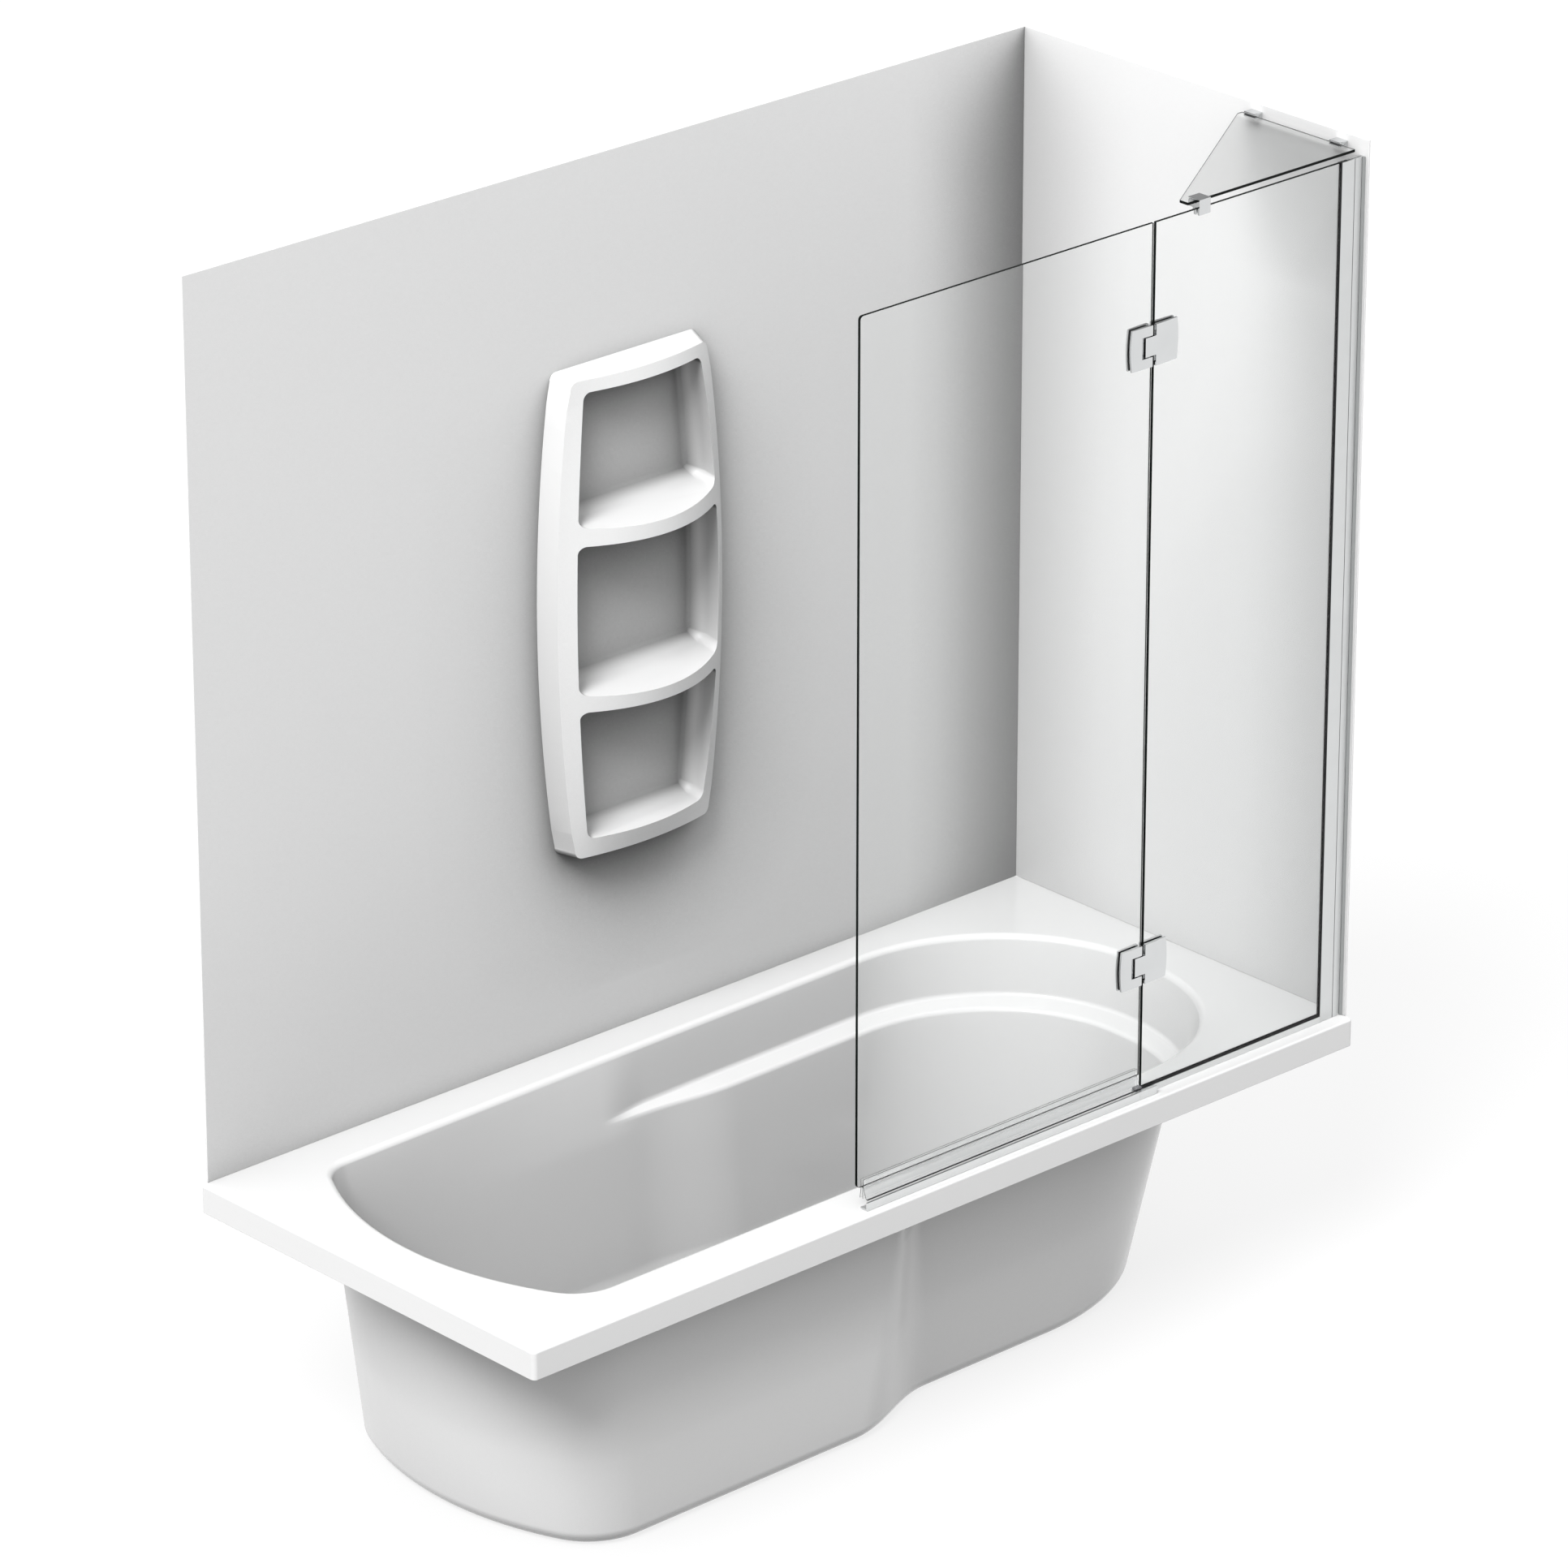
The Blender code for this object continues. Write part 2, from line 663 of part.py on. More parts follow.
def waste():
    """The waste fitting clamps the floor between its flange and its back nut."""
    place = (WASTE_X, WASTE_Y, 0)
    washer_low = FLOOR_TOP + GAP
    washer_high = washer_low + WASHER_THICKNESS
    flange_low = washer_high + GAP
    flange_high = flange_low + FLANGE_THICKNESS
    bore = TUBE_RADIUS - TUBE_WALL
    body = [
        (FLANGE_RADIUS - FLANGE_THICKNESS / 2, flange_high),
        (FLANGE_RADIUS, flange_low + FLANGE_THICKNESS / 3),
        (FLANGE_RADIUS, flange_low),
        (TUBE_RADIUS, flange_low),
        (TUBE_RADIUS, WASTE_FOOT),
        (bore, WASTE_FOOT),
        (bore, flange_high),
    ]
    fitting = turned("waste_body", body, place, UPRIGHT, ROUND_STEPS, CHROME)
    hub_high = WASTE_FOOT + HUB_HEIGHT
    hub = turned("hub_joiner", rod(HUB_RADIUS, WASTE_FOOT, hub_high), place, UPRIGHT, ROUND_STEPS)
    arm_reach = bore + TUBE_WALL / 2
    arm = box("arm_joiner", (WASTE_X - arm_reach, WASTE_Y - HUB_ARM / 2, WASTE_FOOT + GAP),
              (WASTE_X + arm_reach, WASTE_Y + HUB_ARM / 2, hub_high - GAP))
    combine(fitting, arm, "UNION")
    combine(fitting, hub, "UNION")
    cut(fitting, tube_hole("stem_cutter", STEM_RADIUS + GAP, WASTE_FOOT, hub_high))
    ring = tube(TUBE_RADIUS + GAP, FLANGE_RADIUS - FLANGE_THICKNESS / 2, washer_low, washer_high)
    turned("flange_washer", ring, place, UPRIGHT, ROUND_STEPS, BLACK_RUBBER)
    high = FOOT_POCKET - GAP
    low = high - BACK_WASHER_THICKNESS
    turned("back_washer", tube(TUBE_RADIUS + GAP, BACK_WASHER_RADIUS, low, high),
           place, UPRIGHT, ROUND_STEPS, BLACK_RUBBER)
    high = low - GAP
    low = high - NUT_THICKNESS
    nut = flat("back_nut", [arc((WASTE_X, WASTE_Y), NUT_RADIUS, 0, 360, 6)[1:]], low, high, "z", GREY_PLASTIC)
    cut(nut, tube_hole("nut_cutter", TUBE_RADIUS + GAP, low, high))
    return flange_high


def plug(flange_high, parent):
    place = (WASTE_X, WASTE_Y, 0)
    seal_low = flange_high + GAP
    seal_high = seal_low + PLUG_SEAL_HEIGHT
    cap_low = seal_high + GAP
    cap_high = cap_low + PLUG_THICKNESS
    cap = [
        (0, cap_high + PLUG_DOME),
        (PLUG_RADIUS / 2, cap_high + PLUG_DOME * 3 / 4),
        (PLUG_RADIUS * 5 / 6, cap_high),
        (PLUG_RADIUS, cap_high - PLUG_THICKNESS / 3),
        (PLUG_RADIUS, cap_low),
        (STEM_RADIUS, cap_low),
        (STEM_RADIUS, WASTE_FOOT),
        (0, WASTE_FOOT),
    ]
    ring = tube(STEM_RADIUS + GAP, PLUG_SEAL_RADIUS, seal_low, seal_high)
    pieces = [turned("plug_cap", cap, place, UPRIGHT, ROUND_STEPS, CHROME)]
    pieces.append(turned("plug_seal", ring, place, UPRIGHT, ROUND_STEPS, BLACK_RUBBER))
    hang_on(pieces, parent)


def joint_axis(name, place):
    """An empty on a joint's axis, which carries the pieces that move with it."""
    empty = bpy.data.objects.new(name, None)
    empty.location = place
    PARTS.objects.link(empty)
    return empty


def hang_on(pieces, parent):
    for piece in pieces:
        piece.parent = parent
        piece.matrix_parent_inverse = Matrix.Translation(-parent.location)


# Wall panels and shelf unit


def panels():
    low = RIM_TOP + GAP
    high = RIM_TOP + PANEL_HEIGHT
    box("back_wall_panel", (RIM_FOOT + BACK_PANEL_START, BACK_FACE, low), (WALL_FACE - GAP, RIM_BACK, high), PANEL)
    box("end_wall_panel", (WALL_FACE, RIM_FRONT + END_PANEL_START, low), (RIM_HEAD, RIM_BACK, high), PANEL)


def shelf_half(half, share):
    """Half width of the shelf unit, which is widest at its middle."""
    return half - SHELF_TAPER * (2 * share - 1) ** 2


def shelf_front(across_share, share):
    """How far the bowed face stands off the wall."""
    middle = SHELF_MIDDLE_DEPTH - SHELF_BOW_LOSS * (2 * share - 1) ** 2
    return SHELF_SIDE_DEPTH + (middle - SHELF_SIDE_DEPTH) * (1 - across_share**2)


def station(value, shares):
    """Moves an evenly spaced place from 0 to 1 to the nearest of the chosen shares."""
    return shares[round(value * (len(shares) - 1))]


def shelf_unit():
    rows = len(SHELF_ROW_SHARES) - 1
    columns = 2 * (len(SHELF_SIDE_SHARES) - 1)
    shape = bmesh.new()
    bmesh.ops.create_grid(shape, x_segments=columns, y_segments=rows, size=1)
    wall_side = list(shape.verts)
    made = bmesh.ops.extrude_face_region(shape, geom=list(shape.faces))
    face_side = [item for item in made["geom"] if isinstance(item, bmesh.types.BMVert)]
    for verts, proud in ((wall_side, False), (face_side, True)):
        for vert in verts:
            across_share = math.copysign(station(abs(vert.co.x), SHELF_SIDE_SHARES), vert.co.x)
            up_share = station((vert.co.y + 1) / 2, SHELF_ROW_SHARES)
            vert.co = shelf_point(across_share, up_share, proud)
    bmesh.ops.recalc_face_normals(shape, faces=shape.faces)
    mesh = bpy.data.meshes.new("shelf_unit")
    shape.to_mesh(mesh)
    shape.free()
    unit = place_mesh("shelf_unit", mesh, (SHELF_X, BACK_FACE, RIM_TOP + SHELF_LOW), ACRYLIC)
    for number, (low, high) in enumerate(POCKET_SPANS, 1):
        cut(unit, pocket_cutter(f"pocket_cutter_{number}", low, high))


def shelf_point(across_share, up_share, proud):
    """A corner of the grid in place, with the unit's own corners drawn in."""
    half = shelf_half(SHELF_FACE_HALF if proud else SHELF_WALL_HALF, up_share)
    x = half * across_share
    z = SHELF_HEIGHT * up_share
    y = -GAP
    if proud:
        z -= SHELF_TOP_LEAN * up_share
        y = -shelf_front(across_share, up_share)
    if abs(across_share) == 1 and up_share in (0, 1):
        x -= math.copysign(POCKET_RADIUS * (1 - math.sqrt(1 / 2)), x)
        z -= (2 * up_share - 1) * POCKET_RADIUS * (1 - math.sqrt(1 / 2))
    return x, y, z


def pocket_cutter(name, low, high):
    """The space of one pocket: wider rows follow the unit's sides, and the sill falls to the front."""
    deep = -POCKET_BACK
    rings = [
        pocket_outline(low, high, -SHELF_MIDDLE_DEPTH - SHELF_SIDE_DEPTH, 0, 0),
        pocket_outline(low, high, -SHELF_MIDDLE_DEPTH, 0, 0),
    ]
    for angle in (0, 45, 90):
        up, inwards = turned_edge(POCKET_FILLET, angle)
        rings.append(pocket_outline(low, high, deep - POCKET_FILLET + up, 1, inwards))
    cutter = loft(name, rings, None)
    cutter.location = (SHELF_X, BACK_FACE, RIM_TOP + SHELF_LOW)
    return cutter


def pocket_outline(low, high, y, rise_share, inset):
    low += rise_share * POCKET_SILL + inset
    high -= inset
    middle = shelf_half(SHELF_FACE_HALF, (low + high) / 2 / SHELF_HEIGHT) - POCKET_EDGE
    radius = POCKET_RADIUS - inset / 2
    points = []
    for x, z, angle in ((1, high, 0), (-1, high, 90), (-1, low, 180), (1, low, 270)):
        inner = (x * (middle - inset - radius), z - math.copysign(radius, z - (low + high) / 2))
        points += arc(inner, radius, angle, angle + 90, POCKET_CORNER_STEPS)
    ring = []
    for x, z in points:
        half = shelf_half(SHELF_FACE_HALF, z / SHELF_HEIGHT) - POCKET_EDGE
        ring.append((x * half / middle, y, z))
    return ring


# Fixed side of the screen


def rail(name, section, start, end, slot):
    """A straight length along the rim, with its section given from the middle of the glass and the rim."""
    outline = [(SCREEN_Y + across, RIM_TOP + up) for across, up in section]
    return flat(name, [outline], start, end, "x", slot)


def post(name, section, low, high, slot):
    """An upright length, with its section given from the end wall's face and the middle of the glass."""
    outline = [(WALL_FACE + across, SCREEN_Y + deep) for across, deep in section]
    return flat(name, [outline], RIM_TOP + low, RIM_TOP + high, "z", slot)


def wall_channel():
    half = CHANNEL_HALF
    slot = SLOT_HALF
    inner = WALL_SLOT_HALF
    far = -JAMB_FAR
    near = -JAMB_NEAR
    web = -JAMB_WEB
    jamb = post("jamb_profile", [
        (far, -half), (near, -half), (near, -inner), (web, -inner), (web, inner), (near, inner), (near, half),
        (far, half), (far, slot), (web - PROFILE_WALL, slot), (web - PROFILE_WALL, -slot), (far, -slot),
    ], GAP, SCREEN_TOP, SATIN)
    leg = inner - GAP
    hollow = leg - PROFILE_WALL
    reach = -WALL_PROFILE_REACH
    tip = -WALL_LEG_REACH
    base = -WALL_PROFILE_BASE
    profile = post("wall_profile", [
        (reach, -half), (-GAP, -half), (-GAP, half), (reach, half), (reach, leg), (tip, leg),
        (tip, hollow), (base, hollow), (base, -hollow), (tip, -hollow), (tip, -leg), (reach, -leg),
    ], GAP, SCREEN_TOP, SATIN)
    for number, height in enumerate(PROFILE_SCREW_PLACES, 1):
        place = (WALL_FACE - PROFILE_SCREW_FROM_WALL, SCREEN_Y, RIM_TOP + height)
        turned(f"wall_profile_screw_{number}", profile_screw(0), place, TOWARDS_BACK, SCREW_STEPS, CHROME)
        hole = turned(f"profile_hole_{number}", profile_screw(GAP), place, TOWARDS_BACK, SCREW_STEPS)
        cut(jamb, hole)
        cut(profile, hole)
    edge = -half - GAP
    post("sealant_strip", [
        (-GAP, edge - SEALANT_WIDTH), (-GAP, edge), (-GAP - SEALANT_DEPTH, edge),
        (-GAP - SEALANT_DEPTH * SEALANT_WAIST_SHARE, edge - SEALANT_WIDTH * SEALANT_WAIST_SHARE),
    ], GAP, SCREEN_TOP, SEALANT)


def profile_screw(grow):
    """Profile of a pan head screw, whose head lies on the back of the jamb profile."""
    seat = CHANNEL_HALF + GAP - grow / 2
    head = seat + PROFILE_SCREW_HEAD_DEPTH + grow
    tip = PROFILE_SCREW_TIP - 2 * grow
    return [
        (0, head),
        (PROFILE_SCREW_HEAD + grow, head),
        (PROFILE_SCREW_HEAD + grow, seat),
        (PROFILE_SCREW_SHANK + grow, seat),
        (PROFILE_SCREW_SHANK + grow, tip),
        (0, tip),
    ]


def fixed_glass():
    left = PIN_X + FIXED_START
    right = WALL_FACE - JAMB_WEB - PROFILE_WALL - GAP
    foot = RIM_TOP + FIXED_FOOT
    outline = [(left, foot), (right, foot), (right, RIM_TOP + SCREEN_TOP), (left, RIM_TOP + SCREEN_TOP)]
    pane = flat("fixed_glass", [outline], SCREEN_Y - GLASS_FACE, SCREEN_Y + GLASS_FACE, "y", CLEAR_GLASS)
    for name, height in HINGE_PLACES.items():
        low = (left - OVERRUN, SCREEN_Y - GLASS, RIM_TOP + height - FIXED_CUT_HALF)
        high = (PIN_X + FIXED_CUT_END, SCREEN_Y + GLASS, RIM_TOP + height + FIXED_CUT_HALF)
        cut(pane, box(name + "_fixed_cut", low, high))
    return pane


def rails():
    joint_start = PIN_X + JOINER_START
    joint_end = PIN_X + JOINER_END
    front = -THRESHOLD_FRONT
    back = -THRESHOLD_BACK
    high = THRESHOLD_HEIGHT
    wall = THRESHOLD_WALL
    rail("threshold_rail", [
        (front, GAP), (back, GAP), (back, wall), (front + wall, wall), (front + wall, high), (front, high),
    ], SWING_EDGE + THRESHOLD_START, joint_start - GAP, SATIN)
    rail("rail_joiner", [
        (front, GAP), (RAIL_HALF, GAP), (RAIL_HALF, RAIL_HEIGHT), (front + JOINER_WALL, RAIL_HEIGHT),
        (front + JOINER_WALL, high), (front, high),
    ], joint_start, joint_end, SATIN)
    rail("glazing_rail", [
        (-RAIL_HALF, GAP), (RAIL_HALF, GAP), (RAIL_HALF, RAIL_HEIGHT), (-RAIL_HALF, RAIL_HEIGHT),
    ], joint_end + GAP, WALL_FACE - JAMB_FAR - GAP, SATIN)
    low = RAIL_HEIGHT + GAP
    outer = SLOT_HALF + STRIP_WALL
    rail("glazing_strip", [
        (-outer, low), (outer, low), (outer, low + STRIP_HEIGHT), (SLOT_HALF, low + STRIP_HEIGHT),
        (SLOT_HALF, FIXED_FOOT - GAP), (-SLOT_HALF, FIXED_FOOT - GAP), (-SLOT_HALF, low + STRIP_HEIGHT),
        (-outer, low + STRIP_HEIGHT),
    ], PIN_X + FIXED_START, WALL_FACE - JAMB_FAR - GAP, BLACK_RUBBER)
    rail("rail_end_block", [
        (-BLOCK_HALF, low), (BLOCK_HALF, low), (BLOCK_HALF, low + BLOCK_HEIGHT), (-BLOCK_HALF, low + BLOCK_HEIGHT),
    ], PIN_X + BLOCK_START, PIN_X + FIXED_START - GAP, GREY_PLASTIC)


def brace():
    """A flat pane on top of the screen that ties it to the end wall."""
    outline = [
        (WALL_FACE - BRACE_REACH, SCREEN_Y + BRACE_FRONT),
        (WALL_FACE - BRACE_WALL_GAP, SCREEN_Y + BRACE_FRONT),
        (WALL_FACE - BRACE_WALL_GAP, SCREEN_Y + BRACE_FRONT + BRACE_DEPTH),
        (WALL_FACE - BRACE_WALL_GAP - BRACE_END, SCREEN_Y + BRACE_FRONT + BRACE_DEPTH),
        (WALL_FACE - BRACE_REACH, SCREEN_Y + BRACE_FRONT + BRACE_TIP),
    ]
    flat("brace_glass", [outline], RIM_TOP + BRACE_LOW, RIM_TOP + BRACE_TOP, "z", CLEAR_GLASS)
    for number, across in enumerate(WALL_CLAMP_PLACES, 1):
        wall_clamp(number, SCREEN_Y + across)
    panel_clamp()


def wall_clamp(number, middle):
    """A clamp on the end wall that grips the brace between a pad and its upper jaw."""
    low = BRACE_LOW - FINE_GAP - CLAMP_PAD - FINE_GAP - CLAMP_LOWER_JAW
    slot_low = low + CLAMP_LOWER_JAW
    slot_high = BRACE_TOP + GAP
    high = slot_high + CLAMP_JAW
    tip = WALL_FACE - CLAMP_DEPTH
    seat = WALL_FACE - BRACE_WALL_GAP + GAP
    outline = [
        (tip, low), (WALL_FACE - GAP, low), (WALL_FACE - GAP, high), (tip, high),
        (tip, slot_high), (seat, slot_high), (seat, slot_low), (tip, slot_low),
    ]
    outline = [(across, RIM_TOP + up) for across, up in outline]
    start = middle - CLAMP_WIDTH / 2
    end = middle + CLAMP_WIDTH / 2
    flat(f"wall_clamp_{number}", [outline], start, end, "y", CHROME)
    pad_low = RIM_TOP + slot_low + FINE_GAP
    box(f"wall_clamp_pad_{number}", (tip + GAP, start + GAP, pad_low),
        (seat - GAP, end - GAP, pad_low + CLAMP_PAD), BLACK_RUBBER)


def panel_clamp():
    """A clamp that sits over the fixed glass and holds the brace behind its nose."""
    front = -PANEL_CLAMP_FRONT
    back = SLOT_HALF + PANEL_CLAMP_BACK_LEG
    deep = front + PANEL_CLAMP_DEPTH
    nose = BRACE_FRONT - GAP
    low = SCREEN_TOP - PANEL_CLAMP_DROP
    seat = SCREEN_TOP + GAP
    roof = BRACE_TOP + GAP
    start = WALL_FACE - BRACE_REACH + PANEL_CLAMP_FROM_TIP
    rail("panel_clamp", [
        (front, low), (-SLOT_HALF, low), (-SLOT_HALF, seat), (SLOT_HALF, seat), (SLOT_HALF, low), (back, low),
        (back, seat), (deep, seat), (deep, BRACE_LOW - GAP), (nose, BRACE_LOW - GAP), (nose, roof),
        (deep, roof), (deep, roof + PANEL_CLAMP_ROOF), (front, roof + PANEL_CLAMP_ROOF),
    ], start, start + CLAMP_WIDTH, CHROME)


# Swinging side of the screen


def swing_glass():
    left = SWING_EDGE
    right = PIN_X + SWING_PAST
    foot = RIM_TOP + SWING_FOOT
    top = RIM_TOP + SCREEN_TOP
    corner = GLASS_CORNER
    outline = [(right, foot), (right, top)]
    outline += arc((left + corner, top - corner), corner, 90, 180, 4)
    outline += arc((left + corner, foot + corner), corner, 180, 270, 4)
    pane = flat("swing_glass", [outline], SCREEN_Y - GLASS_FACE, SCREEN_Y + GLASS_FACE, "y", CLEAR_GLASS)
    for name, height in HINGE_PLACES.items():
        low = (PIN_X - SWING_CUT_REACH, SCREEN_Y - GLASS, RIM_TOP + height - SWING_CUT_HALF)
        high = (right + OVERRUN, SCREEN_Y + GLASS, RIM_TOP + height + SWING_CUT_HALF)
        cut(pane, box(name + "_swing_cut", low, high))
    return pane


def drip_seal():
    """A clear profile under the swing glass: two legs, a web and three fins, with a black lip in front."""
    outer = SLOT_HALF + SEAL_WALL
    web_high = SWING_FOOT - GAP
    web_low = web_high - SEAL_WEB
    leg_high = SWING_FOOT + SEAL_LEG
    fin_low = web_low - FIN_DROP
    half = FIN_THICKNESS / 2
    back_root = FIN_THICKNESS
    front_root = MIDDLE_FIN - half - GAP
    tip = front_root - FRONT_FIN_LEAN
    start = SWING_EDGE + SEAL_START
    end = PIN_X + SEAL_PAST
    seal = rail("drip_seal", [
        (-outer, leg_high), (-outer, web_high - GAP), (tip - half, fin_low + half), (tip + half, fin_low),
        (front_root, web_low), (MIDDLE_FIN - half, web_low), (MIDDLE_FIN - half, fin_low),
        (MIDDLE_FIN + half, fin_low), (MIDDLE_FIN + half, web_low), (back_root - half, web_low),
        (back_root + BACK_FIN_LEAN - half, fin_low), (back_root + BACK_FIN_LEAN + half, fin_low),
        (back_root + half, web_low), (outer, web_low), (outer, leg_high), (SLOT_HALF, leg_high),
        (SLOT_HALF, web_high), (-SLOT_HALF, web_high), (-SLOT_HALF, leg_high),
    ], start, end, CLEAR_VINYL)
    lip_back = tip - half - GAP
    lip = rail("drip_seal_lip", [
        (lip_back - LIP_WIDTH, fin_low), (lip_back, fin_low),
        (lip_back, fin_low + LIP_DEPTH), (lip_back - LIP_WIDTH, fin_low + LIP_DEPTH),
    ], start, end, BLACK_RUBBER)
    return [seal, lip]


# Hinges


def hinge_box(name, height, low, high):
    """A cutter or joiner placed from the hinge pin, the middle of the glass and the hinge's middle."""
    origin = Vector((PIN_X, SCREEN_Y, RIM_TOP + height))
    return box(name, origin + Vector(low), origin + Vector(high))


def leaf_crown(across):
    """Thickness of a leaf, whose outer face is a shallow arch from edge to edge."""
    middle = (FIXED_LEAF_END - SWING_LEAF_REACH) / 2
    half = (FIXED_LEAF_END + SWING_LEAF_REACH) / 2
    return LEAF_EDGE + LEAF_CROWN * (1 - ((across - middle) / half) ** 2)


def bulged_edge(edge, way):
    """An upright edge that bows out at its middle, from the bottom to the top."""
    half = HINGE_HEIGHT / 2
    points = []
    for step in range(LEAF_STEPS + 1):
        share = 2 * step / LEAF_STEPS - 1
        points.append((edge - way * LEAF_BULGE * share**2, half * share))
    return points


def swing_outline():
    half = HINGE_HEIGHT / 2
    past = SWING_LEAF_PAST
    notch = -NOTCH_REACH
    left = list(reversed(bulged_edge(-SWING_LEAF_REACH, -1)))
    return left + [
        (past, -half), (past, -NOTCH_HALF), (notch, -NOTCH_HALF),
        (notch, NOTCH_HALF), (past, NOTCH_HALF), (past, half),
    ]


def fixed_outline():
    half = HINGE_HEIGHT / 2
    start = FIXED_LEAF_START
    tongue = -TONGUE_REACH
    return bulged_edge(FIXED_LEAF_END, 1) + [
        (start, half), (start, TONGUE_HALF), (tongue, TONGUE_HALF),
        (tongue, -TONGUE_HALF), (start, -TONGUE_HALF), (start, -half),
    ]


def leaf(name, height, outline, side):
    """One plate: a slab with an arched outer face, kept inside the plate's outline."""
    across = [blend(-SWING_LEAF_REACH, FIXED_LEAF_END, step / (2 * LEAF_STEPS)) for step in range(2 * LEAF_STEPS + 1)]
    section = [(PIN_X + x, SCREEN_Y + side * (LEAF_FLAT + leaf_crown(x))) for x in across]
    section += [(PIN_X + FIXED_LEAF_END, SCREEN_Y + side * LEAF_FLAT)]
    section += [(PIN_X - SWING_LEAF_REACH, SCREEN_Y + side * LEAF_FLAT)]
    middle = RIM_TOP + height
    reach = HINGE_HEIGHT / 2 + OVERRUN
    plate = flat(name, [section], middle - reach, middle + reach, "z", CHROME)
    low = SCREEN_Y + min(side * LEAF_FLAT * 2 / 3, side * LEAF_FLAT * 3)
    high = SCREEN_Y + max(side * LEAF_FLAT * 2 / 3, side * LEAF_FLAT * 3)
    shape = [(PIN_X + x, middle + z) for x, z in outline]
    combine(plate, flat(name + "_outline", [shape], low, high, "y"), "INTERSECT")
    return plate


def hinge_screw(grow, open_back):
    """Profile of a screw from the back leaf through the glass into the front leaf."""
    head = SCREW_BACK + (LEAF_EDGE + OVERRUN if open_back else 0)
    seat = SCREW_BACK - SCREW_HEAD_DEPTH - grow
    tip = -SCREW_FRONT - grow
    return [
        (0, head),
        (SCREW_HEAD + grow, head),
        (SCREW_HEAD + grow, seat),
        (SCREW_SHANK + grow, seat),
        (SCREW_SHANK + grow, tip),
        (0, tip),
    ]


def gasket(name, height, outer, web, web_half):
    """A rubber sheet either side of the glass, joined by a strip inside the cut-out."""
    inner = SLOT_HALF - GAP + FINE_GAP
    sheet = inner + GASKET
    way = math.copysign(GASKET_MARGIN, web - outer)
    section = [
        (outer, -sheet), (web + way, -sheet), (web + way, sheet),
        (outer, sheet), (outer, inner), (web, inner), (web, -inner), (outer, -inner),
    ]
    outline = [(PIN_X + x, SCREEN_Y + y) for x, y in section]
    middle = RIM_TOP + height
    half = HINGE_HEIGHT / 2 - GASKET_MARGIN
    piece = flat(name, [outline], middle - half, middle + half, "z", BLACK_RUBBER)
    near = min(web, web + way) - GASKET_MARGIN
    far = max(web, web + way) + GASKET_MARGIN
    for side, low, high in (("low", -half - OVERRUN, -web_half), ("high", web_half, half + OVERRUN)):
        cut(piece, hinge_box(f"{name}_{side}_cut", height, (near, -inner, low), (far, inner, high)))
    return piece


def hinge(name, height, swing_pane, fixed_pane):
    """Two pairs of leaves, one pair on each pane, that turn on one pin. It returns the pieces that swing."""
    swing_front = leaf(name + "_swing_leaf_front", height, swing_outline(), -1)
    swing_back = leaf(name + "_swing_leaf_back", height, swing_outline(), 1)
    fixed_front = leaf(name + "_fixed_leaf_front", height, fixed_outline(), -1)
    fixed_back = leaf(name + "_fixed_leaf_back", height, fixed_outline(), 1)
    root = -LEAF_FLAT - LEAF_EDGE / 2
    step = KNUCKLE_STEP
    for side, low in (("low", -ARM_START - ARM_HEIGHT), ("high", ARM_START)):
        arm = hinge_box(f"{name}_{side}_arm", height, (-ARM_REACH, root, low),
                        (SWING_LEAF_PAST - step, KNUCKLE_HALF, low + ARM_HEIGHT))
        combine(swing_front, arm, "UNION")
    tongue = hinge_box(name + "_tongue", height, (-TONGUE_REACH + step, root, -TONGUE_HALF + step),
                       (TONGUE_ROOT, KNUCKLE_HALF, TONGUE_HALF - step))
    combine(fixed_front, tongue, "UNION")
    place = (PIN_X, SCREEN_Y, RIM_TOP + height)
    bore = turned(name + "_pin_cutter", rod(PIN_RADIUS + FINE_GAP, -PIN_HALF - GAP, PIN_HALF + GAP),
                  place, UPRIGHT, PIN_STEPS)
    cut(swing_front, bore)
    cut(fixed_front, bore)
    collar_low = TONGUE_HALF
    collar_high = ARM_START - GAP
    turned(name + "_pivot_pin", [
        (0, PIN_HALF), (PIN_RADIUS, PIN_HALF), (PIN_RADIUS, collar_high), (PIN_COLLAR, collar_high),
        (PIN_COLLAR, collar_low), (PIN_RADIUS, collar_low), (PIN_RADIUS, -collar_low), (PIN_COLLAR, -collar_low),
        (PIN_COLLAR, -collar_high), (PIN_RADIUS, -collar_high), (PIN_RADIUS, -PIN_HALF), (0, -PIN_HALF),
    ], place, UPRIGHT, PIN_STEPS, CHROME)
    swing_gasket = gasket(name + "_swing_gasket", height, -SWING_LEAF_REACH + GASKET_MARGIN * 3,
                          -SWING_CUT_REACH + GAP, SWING_CUT_HALF - GASKET_MARGIN)
    fixed_gasket = gasket(name + "_fixed_gasket", height, FIXED_LEAF_END - GASKET_MARGIN * 3,
                          FIXED_CUT_END - GAP, FIXED_CUT_HALF - GASKET_MARGIN)
    swing_pieces = [swing_front, swing_back, swing_gasket]
    swing_stack = (swing_front, swing_back, swing_gasket, swing_pane)
    fixed_stack = (fixed_front, fixed_back, fixed_gasket, fixed_pane)
    swing_pieces += hinge_screws(name + "_swing", height, SWING_SCREW, SWING_SCREW_RISE, swing_stack)
    hinge_screws(name + "_fixed", height, FIXED_SCREW, FIXED_SCREW_RISE, fixed_stack)
    return swing_pieces


